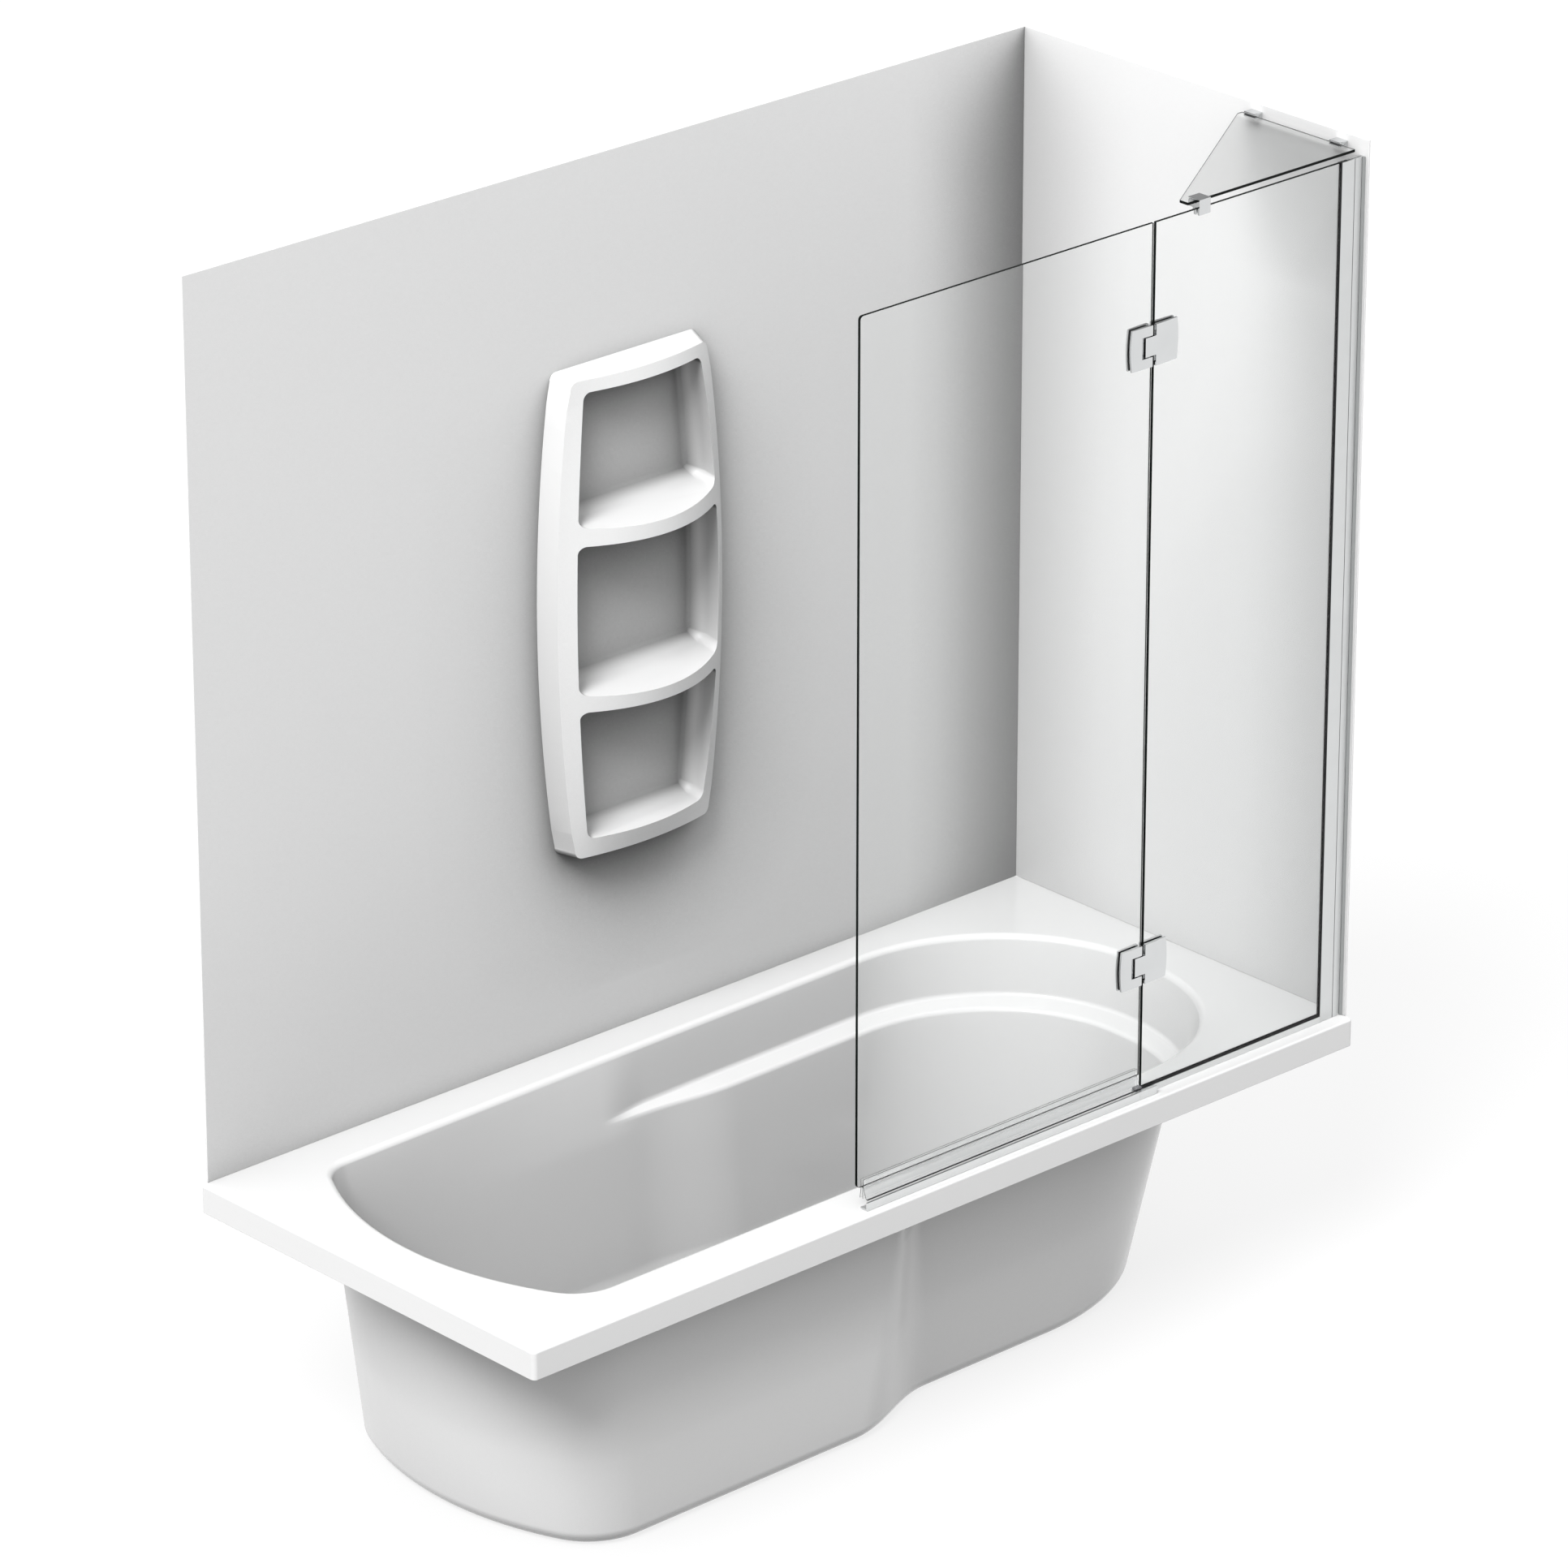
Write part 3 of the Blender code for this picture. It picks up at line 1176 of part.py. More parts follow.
def hinge_screws(name, height, across, rise, stack):
    screws = []
    for side, up in (("low", -rise), ("high", rise)):
        place = (PIN_X + across, SCREEN_Y, RIM_TOP + height + up)
        screws.append(turned(f"{name}_screw_{side}", hinge_screw(0, False), place, TOWARDS_BACK, SCREW_STEPS, CHROME))
        hole = turned(f"{name}_hole_{side}", hinge_screw(GAP, True), place, TOWARDS_BACK, SCREW_STEPS)
        for piece in stack:
            cut(piece, hole)
    return screws


# The whole object


def build():
    bath_shell()
    baseboard()
    plug(waste(), joint_axis("plug_axis", (WASTE_X, WASTE_Y, FLOOR_TOP)))
    panels()
    shelf_unit()
    wall_channel()
    rails()
    brace()
    fixed_pane = fixed_glass()
    swing_pane = swing_glass()
    swing_pieces = [swing_pane, *drip_seal()]
    for name, height in HINGE_PLACES.items():
        swing_pieces += hinge(name, height, swing_pane, fixed_pane)
    hang_on(swing_pieces, joint_axis("swing_axis", (PIN_X, SCREEN_Y, RIM_TOP)))


build()
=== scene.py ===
import json
import math

import bmesh
import bpy
from mathutils import Matrix, Vector


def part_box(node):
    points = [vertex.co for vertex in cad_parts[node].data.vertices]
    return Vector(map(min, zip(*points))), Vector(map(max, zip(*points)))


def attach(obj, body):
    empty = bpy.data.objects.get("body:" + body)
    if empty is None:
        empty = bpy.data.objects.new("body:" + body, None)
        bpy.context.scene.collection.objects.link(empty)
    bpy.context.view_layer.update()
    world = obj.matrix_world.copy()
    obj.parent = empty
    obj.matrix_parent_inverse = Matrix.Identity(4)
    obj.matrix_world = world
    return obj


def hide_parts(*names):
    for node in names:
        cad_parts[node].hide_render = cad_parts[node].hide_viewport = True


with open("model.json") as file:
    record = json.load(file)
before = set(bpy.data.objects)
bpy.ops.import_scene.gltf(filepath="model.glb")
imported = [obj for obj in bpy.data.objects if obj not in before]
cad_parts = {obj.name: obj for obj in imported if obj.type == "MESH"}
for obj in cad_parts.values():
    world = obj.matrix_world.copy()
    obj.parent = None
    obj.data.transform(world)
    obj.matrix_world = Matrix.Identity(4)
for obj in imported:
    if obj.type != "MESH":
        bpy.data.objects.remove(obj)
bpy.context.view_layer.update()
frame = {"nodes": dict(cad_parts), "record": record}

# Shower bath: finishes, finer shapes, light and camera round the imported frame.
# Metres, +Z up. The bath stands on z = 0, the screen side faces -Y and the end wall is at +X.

WELD = 1e-5

# Bath
BATH_LENGTH = 1.680
BATH_WIDTH = 0.750
BATH_HEIGHT = 0.450
SHELL_WALL = 0.006
LIP_HEIGHT = 0.045
LIP_WALL = 0.0055
LIP_EDGE = 0.0012
RIM_CORNER = 0.0075
RIM_EDGE = 0.003
FRONT_MARGIN = 0.0805
BACK_MARGIN = 0.071
BACK_SLANT = 0.014
FOOT_MARGIN = 0.083
HEAD_MARGIN = 0.078
HEAD_START = 0.397
OPENING_ROUND = 0.010
FOOT_RADIUS = 0.529
FRONT_FILLET = 0.090
BACK_FILLET = 0.070
TUB_DEPTH = 0.410
FLOOR_FILLET = 0.060
LEDGE_DEPTH = 0.091
FRONT_LEDGE = 0.036
BACK_LEDGE = 0.031
HEAD_LEDGE = 0.035
STEP_FROM = 0.878
STEP_TO = 0.798
BACK_FADE_FROM = 1.330
BACK_FADE_SHARE = 0.45
BACK_STEP_FROM = 0.895
BACK_STEP_TO = 0.705
SCOOP_FROM = 0.965
SCOOP_TO = 0.865
SCOOP_DEPTH = 0.170
BOTTOM_ROUND = 0.026
FOOT_LAND = 0.014
FOOT_POCKET = 0.034
SIDE_DRAFT_SHARE = 0.060
FOOT_DRAFT_SHARE = 0.140
HEAD_DRAFT_SHARE = 0.165
LOWER_HEAD_DRAFT_SHARE = 0.114
LOWER_FRONT_DRAFT_SHARE = 0.060
LOWER_BACK_DRAFT_SHARE = 0.031
HEAD_START_DRAFT_SHARE = 0.190
STEP_FROM_DRAFT_SHARE = 0.176
STEP_TO_DRAFT_SHARE = -0.168
FILLET_GROWTH_SHARE = 0.070
FOOT_SHIFT_SHARE = 0.034
HEAD_FRONT_POWER = 2.3
HEAD_LEDGE_POWER = 0.4
HEAD_POWER_FALL = 0.7
HEAD_BACK_POWER = 2.0
HEAD_STEPS = 36
FILLET_STEPS = 16
FOOT_STEPS = 24
STEP_STEPS = 24
LEAD_STEPS = 8
CORNER_STEPS = 8
LEDGE_WIDTH = 0.036
LEDGE_SLOPE = 14
LEDGE_HOLLOW = 0.008
LEDGE_NOSE = 0.008
LEDGE_START = -0.0005
WASTE_FROM_HEAD = 0.343
WASTE_HOLE = 0.0235

# Shelf unit
SHELF_X = 0.007
SHELF_LOW = 0.326
SHELF_HEIGHT = 0.779
SHELF_WALL_HALF = 0.177
SHELF_FACE_HALF = 0.1665
SHELF_TAPER = 0.030
SHELF_SIDE_DEPTH = 0.035
SHELF_MIDDLE_DEPTH = 0.103
SHELF_BOW_LOSS = 0.051
SHELF_TOP_LEAN = 0.008
SHELF_CORNER = 0.013
SHELF_EDGE = 0.0045
POCKET_EDGE = 0.024
POCKET_BACK = 0.0045
POCKET_RADIUS = 0.013
POCKET_FILLET = 0.024
POCKET_SILL = 0.012
POCKET_LIP = 0.0022
POCKET_SPANS = ((0.022, 0.247), (0.267, 0.515), (0.536, 0.752))
PANEL_THICKNESS = 0.003
WALL_GAP = 0.0003

# Worked out from these
RIM_FRONT = -BATH_WIDTH / 2
RIM_BACK = BATH_WIDTH / 2
RIM_FOOT = -BATH_LENGTH / 2
RIM_HEAD = BATH_LENGTH / 2
RIM_TOP = BATH_HEIGHT
BACK_FACE = RIM_BACK - PANEL_THICKNESS
FLOOR_TOP = BATH_HEIGHT - TUB_DEPTH
WASTE_X = RIM_HEAD - WASTE_FROM_HEAD
WASTE_Y = (BACK_SLANT + FRONT_MARGIN - BACK_MARGIN) / 2


# Effects that several finishes share


RUB_FROM = 0.2
RUB_TO = 0.8
SOCKET_KINDS = {
    "Stretch": "NodeSocketVector", "Tone 1": "NodeSocketColor", "Tone 2": "NodeSocketColor",
    "Colour": "NodeSocketColor",
}


def fill(tree, socket, source):
    """Gives a socket a value, or links it to another."""
    if isinstance(source, bpy.types.NodeSocket):
        tree.links.new(source, socket)
    else:
        socket.default_value = source


def add(tree, kind, *sources, settings=None, **inputs):
    """The outputs of a new node. Inputs are filled in turn or by name, with _ for the spaces of the name."""
    node = tree.nodes.new(kind)
    for label, value in (settings or {}).items():
        setattr(node, label, value)
    for socket, source in zip(node.inputs, sources):
        fill(tree, socket, source)
    for label, source in inputs.items():
        fill(tree, node.inputs[label.replace("_", " ")], source)
    return node.outputs


def joined(tree, operation, first, second):
    """The value of a Math node."""
    return add(tree, "ShaderNodeMath", first, second, settings={"operation": operation})["Value"]


def mapped(tree, source, kind="LINEAR", **ends):
    """A value carried over from one span to another."""
    return add(tree, "ShaderNodeMapRange", source, settings={"interpolation_type": kind}, **ends)["Result"]


def mixed(tree, share, first, second):
    """A colour between two."""
    mix = add(tree, "ShaderNodeMix", settings={"data_type": "RGBA"}, Factor=share, A=first, B=second)
    return mix["Result"]


def new_effect(name, inputs, outputs):
    """A shader node group. Inputs are pairs of label and value, outputs are labels."""
    group = bpy.data.node_groups.new(name, "ShaderNodeTree")
    for label, value in inputs:
        kind = SOCKET_KINDS.get(label, "NodeSocketFloat")
        group.interface.new_socket(label, in_out="INPUT", socket_type=kind).default_value = value
    for label in outputs:
        kind = SOCKET_KINDS.get(label, "NodeSocketFloat")
        group.interface.new_socket(label, in_out="OUTPUT", socket_type=kind)
    return group, group.nodes.new("NodeGroupInput").outputs, group.nodes.new("NodeGroupOutput").inputs


def own_place(group, stretch=None):
    """The piece's own coordinates, stretched by the group's input if there is one."""
    place = group.nodes.new("ShaderNodeTexCoord").outputs["Object"]
    if stretch is None:
        return place
    return add(group, "ShaderNodeMapping", Vector=place, Scale=stretch)["Vector"]


def noise_over(group, place, scale, detail):
    return add(group, "ShaderNodeTexNoise", Vector=place, Scale=scale, Detail=detail)["Fac"]


def ripple_effect():
    """The slight waves of a moulded or rolled surface."""
    group, entry, leave = new_effect("surface_ripple", [("Scale", 12.0)], ["Height"])
    group.links.new(noise_over(group, own_place(group), entry["Scale"], detail=2), leave["Height"])
    return group


def drawn_effect():
    """Fine lines along a drawn or extruded length."""
    group, entry, leave = new_effect("drawn_lines", [("Stretch", (1.0, 1.0, 1.0))], ["Height"])
    place = own_place(group, entry["Stretch"])
    group.links.new(noise_over(group, place, scale=1, detail=3), leave["Height"])
    return group


def tone_effect():
    """A colour that drifts between two near tones."""
    inputs = [("Scale", 4.0), ("Tone 1", (0.8, 0.8, 0.8, 1.0)), ("Tone 2", (0.7, 0.7, 0.7, 1.0))]
    group, entry, leave = new_effect("tone_drift", inputs, ["Colour"])
    share = noise_over(group, own_place(group), entry["Scale"], detail=4)
    group.links.new(mixed(group, share, entry["Tone 1"], entry["Tone 2"]), leave["Colour"])
    return group


def rub_effect():
    """A gloss that wanders between two roughnesses, as on a wiped surface."""
    inputs = [("Scale", 6.0), ("Low", 0.1), ("High", 0.2)]
    group, entry, leave = new_effect("rubbed_gloss", inputs, ["Roughness"])
    share = noise_over(group, own_place(group), entry["Scale"], detail=2)
    gloss = mapped(group, share, "SMOOTHSTEP", From_Min=RUB_FROM, From_Max=RUB_TO, To_Min=entry["Low"],
                   To_Max=entry["High"])
    group.links.new(gloss, leave["Roughness"])
    return group


def fleck_effect():
    """Flecks or short fibres, with their mask and height."""
    inputs = [("Stretch", (1.0, 1.0, 1.0)), ("Cover", 0.3)]
    group, entry, leave = new_effect("flecks", inputs, ["Mask", "Height"])
    place = own_place(group, entry["Stretch"])
    distance = add(group, "ShaderNodeTexVoronoi", Vector=place, Scale=1)["Distance"]
    group.links.new(joined(group, "LESS_THAN", distance, entry["Cover"]), leave["Mask"])
    group.links.new(distance, leave["Height"])
    return group


RIPPLE = ripple_effect()
DRAWN = drawn_effect()
TONE = tone_effect()
RUB = rub_effect()
FLECK = fleck_effect()


# Finishes


NO_LIGHT = (0, 0, 0, 1)
WHITE = (1, 1, 1, 1)
FACING_FROM = 0.25
FACING_TO = 0.75
METAL_DRIFT = 30.0
METAL_RUB = 40.0
LINE_DEPTH = 0.0002
RUBBER_DRIFT = 60.0
RUBBER_RUB = 50.0
RUBBER_GRAIN = 1500.0
GLASS_RUB = 7.0
GLASS_SHADOW = (0.88, 0.885, 0.885, 1)
FIBRE_TONE = (0.63, 0.57, 0.45, 1)


def new_finish(name, **constants):
    """A material whose shader has these constants. Names use _ for the spaces of the shader's sockets."""
    finish = bpy.data.materials.new(name)
    finish.use_nodes = True
    for label, value in constants.items():
        finish.node_tree.nodes["Principled BSDF"].inputs[label.replace("_", " ")].default_value = value
    return finish


def feed(finish, source, label):
    tree = finish.node_tree
    tree.links.new(source, tree.nodes["Principled BSDF"].inputs[label])


def effect_in(finish, effect, **values):
    """The outputs of an effect in a finish, with its inputs set."""
    node = finish.node_tree.nodes.new("ShaderNodeGroup")
    node.node_tree = effect
    for label, value in values.items():
        node.inputs[label.replace("_", " ")].default_value = value
    return node.outputs


def drift(finish, scale, tones):
    """The colour of a finish, between two tones. A tone is a grey, or red, green and blue."""
    first, second = ((*tone, 1) if isinstance(tone, tuple) else (tone, tone, tone, 1) for tone in tones)
    return effect_in(finish, TONE, Scale=scale, Tone_1=first, Tone_2=second)["Colour"]


def rub(finish, scale, low, high):
    feed(finish, effect_in(finish, RUB, Scale=scale, Low=low, High=high)["Roughness"], "Roughness")


def relief(finish, source, strength, distance):
    bump = add(finish.node_tree, "ShaderNodeBump", Strength=strength, Distance=distance, Height=source)
    feed(finish, bump["Normal"], "Normal")


def ripple(finish, scale, strength, distance):
    relief(finish, effect_in(finish, RIPPLE, Scale=scale)["Height"], strength, distance)


def paint_shade_and_dim_bounce(finish, tone, reach, shade, spared, depth, echo_share, lean, light_from):
    """Paints shade into the base colour of a white: painted shade in its hollows and painted shadow under
    what overhangs it, less where it faces the light, and a darker colour for the light it bounces on to
    others.

    Reach is a hollow's size, shade how much light it can lose, spared the least that a face turned to the
    light keeps, and depth how fast the loss grows. Lean raises the test, as most light comes from above, so
    that the painted shadow falls below overhangs.
    """
    tree = finish.node_tree
    normal = tree.nodes.new("ShaderNodeNewGeometry").outputs["Normal"]
    turned = add(tree, "ShaderNodeVectorMath", normal, light_from, settings={"operation": "DOT_PRODUCT"})
    raised = add(tree, "ShaderNodeVectorMath", normal, (0, 0, lean))["Vector"]
    level = add(tree, "ShaderNodeVectorMath", raised, settings={"operation": "NORMALIZE"})["Vector"]
    # Painted shade: occlusion within reach darkens the base colour, tested on a normal tilted upwards.
    hollow = add(tree, "ShaderNodeAmbientOcclusion", Distance=reach, Normal=level)["AO"]
    kept = mapped(tree, turned["Value"], From_Min=FACING_FROM, From_Max=FACING_TO, To_Min=1 - shade,
                  To_Max=spared)
    open_share = joined(tree, "MULTIPLY", hollow, 2 / (1 + 1 / math.hypot(1, lean)))
    light = mapped(tree, joined(tree, "POWER", open_share, depth), To_Min=kept)
    # Light bounced on to other faces sees a darker copy of the colour, which dims their bounce light.
    path = tree.nodes.new("ShaderNodeLightPath").outputs
    echo = mapped(tree, path["Is Diffuse Ray"], To_Min=1, To_Max=echo_share)
    feed(finish, mixed(tree, joined(tree, "MULTIPLY", light, echo), NO_LIGHT, tone), "Base Color")


def acrylic_finish():
    """Glossy white sheet, with the slight waves that forming leaves, and painted shade in its colour."""
    finish = new_finish("white_acrylic_gloss", Coat_Weight=0.30, Coat_Roughness=0.04, Specular_IOR_Level=0.4)
    # Painted shade: the sheet's colour darkens under the rim's overhang and in the tub's hollows.
    paint_shade_and_dim_bounce(finish, drift(finish, scale=3.0, tones=(0.805, 0.825)), reach=0.30, shade=0.60, spared=0.88,
         depth=1.0, echo_share=0.08, lean=1.0, light_from=UPWARD)
    rub(finish, scale=5.0, low=0.15, high=0.24)
    ripple(finish, scale=9.0, strength=0.10, distance=0.004)
    return finish


def moulding_finish():
    """Satin white, with a fine grain, and painted shade in its colour."""
    finish = new_finish("white_moulding", Coat_Weight=0.15, Coat_Roughness=0.12)
    # Painted shade: the colour darkens at the backs of the pockets and in the unit's hollows, less on faces
    # turned up and to the left.
    paint_shade_and_dim_bounce(finish, drift(finish, scale=2.5, tones=(0.86, 0.875)), reach=0.24, shade=1.0, spared=1.0,
         depth=2.4, echo_share=0.15, lean=0.5, light_from=MOULDING_SPARED)
    rub(finish, scale=3.0, low=0.29, high=0.34)
    ripple(finish, scale=160.0, strength=0.06, distance=0.0008)
    return finish


def wall_finish():
    """Satin laminate with a very fine pressed texture, and painted shadow in its colour."""
    finish = new_finish("white_wall_panel", Coat_Weight=0.05, Coat_Roughness=0.2)
    # Painted shadow: the panels' colour darkens below the shelf unit and the clamps and in corners, less on
    # faces turned to the key lamp.
    paint_shade_and_dim_bounce(finish, drift(finish, scale=1.6, tones=(0.905, 0.92)), reach=0.25, shade=0.95, spared=0.84,
         depth=2.3, echo_share=0.45, lean=1.0, light_from=LAMPWARD)
    rub(finish, scale=3.0, low=0.30, high=0.40)
    ripple(finish, scale=420.0, strength=0.03, distance=0.0003)
    return finish


def metal_finish(name, stretch, tones, gloss, lines):
    """Bare metal, with lines this strong along the way that is stretched least."""
    finish = new_finish(name, Metallic=1.0)
    feed(finish, drift(finish, METAL_DRIFT, tones), "Base Color")
    rub(finish, METAL_RUB, *gloss)
    relief(finish, effect_in(finish, DRAWN, Stretch=stretch)["Height"], lines, LINE_DEPTH)
    return finish


def rubber_finish(name, tones, gloss, sheen=0.5):
    finish = new_finish(name, Specular_IOR_Level=sheen)
    feed(finish, drift(finish, RUBBER_DRIFT, tones), "Base Color")
    rub(finish, RUBBER_RUB, *gloss)
    ripple(finish, RUBBER_GRAIN, strength=0.25, distance=0.0002)
    return finish


def see_through(name, colour, gloss, ior):
    """A clear material that lets light through to other faces, with faint marks in its gloss."""
    finish = new_finish(name, Base_Color=(*colour, 1), Transmission_Weight=1.0, IOR=ior)
    rub(finish, GLASS_RUB, *gloss)
    tree = finish.node_tree
    path = tree.nodes.new("ShaderNodeLightPath").outputs
    passing = joined(tree, "MAXIMUM", path["Is Shadow Ray"], path["Is Diffuse Ray"])
    clear = add(tree, "ShaderNodeBsdfTransparent", Color=GLASS_SHADOW)["BSDF"]
    glass = tree.nodes["Principled BSDF"].outputs["BSDF"]
    mix = add(tree, "ShaderNodeMixShader", passing, glass, clear)["Shader"]
    tree.links.new(mix, tree.nodes["Material Output"].inputs["Surface"])
    return finish


def board_finish():
    """Resin-bonded board with pale fibres."""
    finish = new_finish("resin_board", Roughness=0.75)
    flecks = effect_in(finish, FLECK, Stretch=(500.0, 90.0, 90.0), Cover=0.32)
    tone = drift(finish, scale=18.0, tones=((0.46, 0.38, 0.26), (0.54, 0.46, 0.33)))
    feed(finish, mixed(finish.node_tree, flecks["Mask"], tone, FIBRE_TONE), "Base Color")
    relief(finish, flecks["Height"], strength=0.4, distance=0.0006)
    return finish


UPWARD = (0.0, 0.0, 1.0)
LAMPWARD = (-0.60, -0.24, 0.76)
MOULDING_SPARED = (-0.66, 0.00, 0.75)
ALONG_X = (8.0, 2600.0, 2600.0)
ALONG_Z = (2600.0, 2600.0, 8.0)
EVERY_WAY = (700.0, 700.0, 700.0)
RAIL_TONES = ((0.69, 0.70, 0.70), (0.74, 0.75, 0.75))
POST_TONES = ((0.63, 0.64, 0.64), (0.675, 0.685, 0.685))
CHROME_TONES = ((0.62, 0.63, 0.635), (0.67, 0.68, 0.685))
# Painted dark: near-black tones for the panes' edge faces, standing in for the darkness refraction gives a
# glass edge.
PAINTED_DARK_EDGE_TONES = ((0.004, 0.005, 0.005), (0.008, 0.010, 0.009))
BLACK_TONES = ((0.012, 0.012, 0.013), (0.022, 0.022, 0.023))
GREY_TONES = ((0.13, 0.13, 0.14), (0.18, 0.18, 0.19))
SEALANT_TONES = ((0.26, 0.27, 0.27), (0.30, 0.31, 0.31))

ACRYLIC = acrylic_finish()
MOULDING = moulding_finish()
WALL = wall_finish()
RAIL_METAL = metal_finish("rail_aluminium", ALONG_X, RAIL_TONES, gloss=(0.28, 0.34), lines=0.05)
POST_METAL = metal_finish("post_aluminium", ALONG_Z, POST_TONES, gloss=(0.28, 0.34), lines=0.05)
CHROME = metal_finish("polished_chrome", EVERY_WAY, CHROME_TONES, gloss=(0.07, 0.13), lines=0.03)
GLASS = see_through("clear_glass", colour=(0.99, 0.996, 0.993), gloss=(0.0, 0.01), ior=1.45)
VINYL = see_through("clear_vinyl", colour=(0.965, 0.968, 0.968), gloss=(0.10, 0.18), ior=1.38)
# Painted dark: near-black edge faces of the panes, in place of the darkness refraction gives a glass edge.
PAINTED_DARK_GLASS_EDGE = rubber_finish("glass_edge_painted_dark", PAINTED_DARK_EDGE_TONES, gloss=(0.12, 0.20), sheen=0.06)
BLACK = rubber_finish("black_rubber", BLACK_TONES, gloss=(0.45, 0.65), sheen=0.2)
GREY = rubber_finish("grey_plastic", GREY_TONES, gloss=(0.35, 0.50))
SEALANT = rubber_finish("grey_sealant", SEALANT_TONES, gloss=(0.35, 0.50))
BOARD = board_finish()


# Shapes


CREASE = 35
WIDE_CREASE = 40
SHELL_CREASE = 30
SHELF_CREASE = 32
EDGE_FROM = 30
SHARP_EDGE_FROM = 50
FACE_WEIGHT = 80
BODY_OF = {node: body for body, nodes in frame["record"]["behaviour"]["bodies"].items() for node in nodes}


def arc(centre, radius, start, end, steps):
    """Points on an arc between two angles in degrees, both ends included."""
    points = []
    for step in range(steps + 1):
        angle = math.radians(start + (end - start) * step / steps)
        points.append((centre[0] + radius * math.cos(angle), centre[1] + radius * math.sin(angle)))
    return points


def blend(start, end, share):
    return start + (end - start) * share


def eased(share):
    share = min(max(share, 0), 1)
    return share * share * (3 - 2 * share)


def turned_edge(radius, angle):
    """How far in and down an edge of this radius has come at an angle from its flat."""
    turn = math.radians(angle)
    return radius * math.sin(turn), radius * (1 - math.cos(turn))


def new_piece(name, shape, finish):
    """A piece from a bmesh, at the origin."""
    mesh = bpy.data.meshes.new(name)
    shape.to_mesh(mesh)
    shape.free()
    piece = bpy.data.objects.new(name, mesh)
    bpy.context.scene.collection.objects.link(piece)
    if finish is not None:
        mesh.materials.append(finish)
    return piece


def smooth(piece, angle=CREASE):
    """Shades a piece smooth, with creases where faces meet at more than an angle in degrees."""
    mesh = piece.data
    mesh.polygons.foreach_set("use_smooth", [True] * len(mesh.polygons))
    mesh.set_sharp_from_angle(angle=math.radians(angle))


def settle(piece):
    """Makes a piece's modifiers part of its mesh."""
    bpy.context.view_layer.update()
    graph = bpy.context.evaluated_depsgraph_get()
    mesh = bpy.data.meshes.new_from_object(piece.evaluated_get(graph))
    piece.modifiers.clear()
    old = piece.data
    piece.data = mesh
    bpy.data.meshes.remove(old)
    mesh.name = piece.name


def split_faces(shape):
    """Splits faces with inward corners, because a rounded edge can fold them over."""
    hollow = [face for face in shape.faces
              if len(face.verts) > 4 and not all(loop.is_convex for loop in face.loops)]
    bmesh.ops.triangulate(shape, faces=hollow, ngon_method="EAR_CLIP")


def round_edges(piece, width, segments, angle=EDGE_FROM):
    """Rounds the edges where faces meet at more than an angle in degrees."""
    bevel = piece.modifiers.new("rounded edges", "BEVEL")
    bevel.width = width
    bevel.segments = segments
    bevel.limit_method = "ANGLE"
    bevel.angle_limit = math.radians(angle)
    settle(piece)


def weigh(piece):
    """Turns the shading of large faces flat and leaves the rounding to the edges."""
    weights = piece.modifiers.new("even shading", "WEIGHTED_NORMAL")
    weights.keep_sharp = True
    weights.weight = FACE_WEIGHT
    settle(piece)


def carve(piece, cutter, operation="DIFFERENCE"):
    """Cuts a closed shape out of a piece, or keeps what both fill, and drops the cutter."""
    step = piece.modifiers.new(operation, "BOOLEAN")
    step.operation = operation
    step.solver = "EXACT"
    step.object = cutter
    settle(piece)
    bpy.data.objects.remove(cutter, do_unlink=True)


def lofted(name, rings, finish):
    """A skin through rings with equal numbers of points, closed at both ends."""
    shape = bmesh.new()
    rows = [[shape.verts.new(point) for point in ring] for ring in rings]
    for row, following in zip(rows, rows[1:]):
        for k in range(len(row)):
            after = (k + 1) % len(row)
            shape.faces.new((row[k], row[after], following[after], following[k]))
    shape.faces.new(rows[0])
    shape.faces.new(rows[-1])
    bmesh.ops.recalc_face_normals(shape, faces=shape.faces)
    return new_piece(name, shape, finish)


def lathed(name, profile, centre, steps, finish):
    """A turned shape. The profile runs from top to bottom, as pairs of radius and height."""
    shape = bmesh.new()
    rows = []
    for radius, height in profile:
        row = []
        for step in range(steps if radius > 0 else 1):
            turn = math.tau * step / steps
            place = (radius * math.cos(turn), radius * math.sin(turn), height)
            row.append(shape.verts.new([middle + away for middle, away in zip(centre, place)]))
        rows.append(row)
    pairs = list(zip(rows, rows[1:]))
    if profile[0][0] > 0:
        pairs.append((rows[-1], rows[0]))
    for row, following in pairs:
        for k in range(steps):
            after = (k + 1) % steps
            corners = [row[k % len(row)], row[after % len(row)]]
            corners += [following[after % len(following)], following[k % len(following)]]
            unique = list(dict.fromkeys(corners))
            if len(unique) > 2:
                shape.faces.new(unique)
    bmesh.ops.recalc_face_normals(shape, faces=shape.faces)
    return new_piece(name, shape, finish)


def dress(piece, *nodes):
    """A piece stands for CAD nodes and rides on their body."""
    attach(piece, BODY_OF[nodes[0]])
    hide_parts(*nodes)


# Bath shell


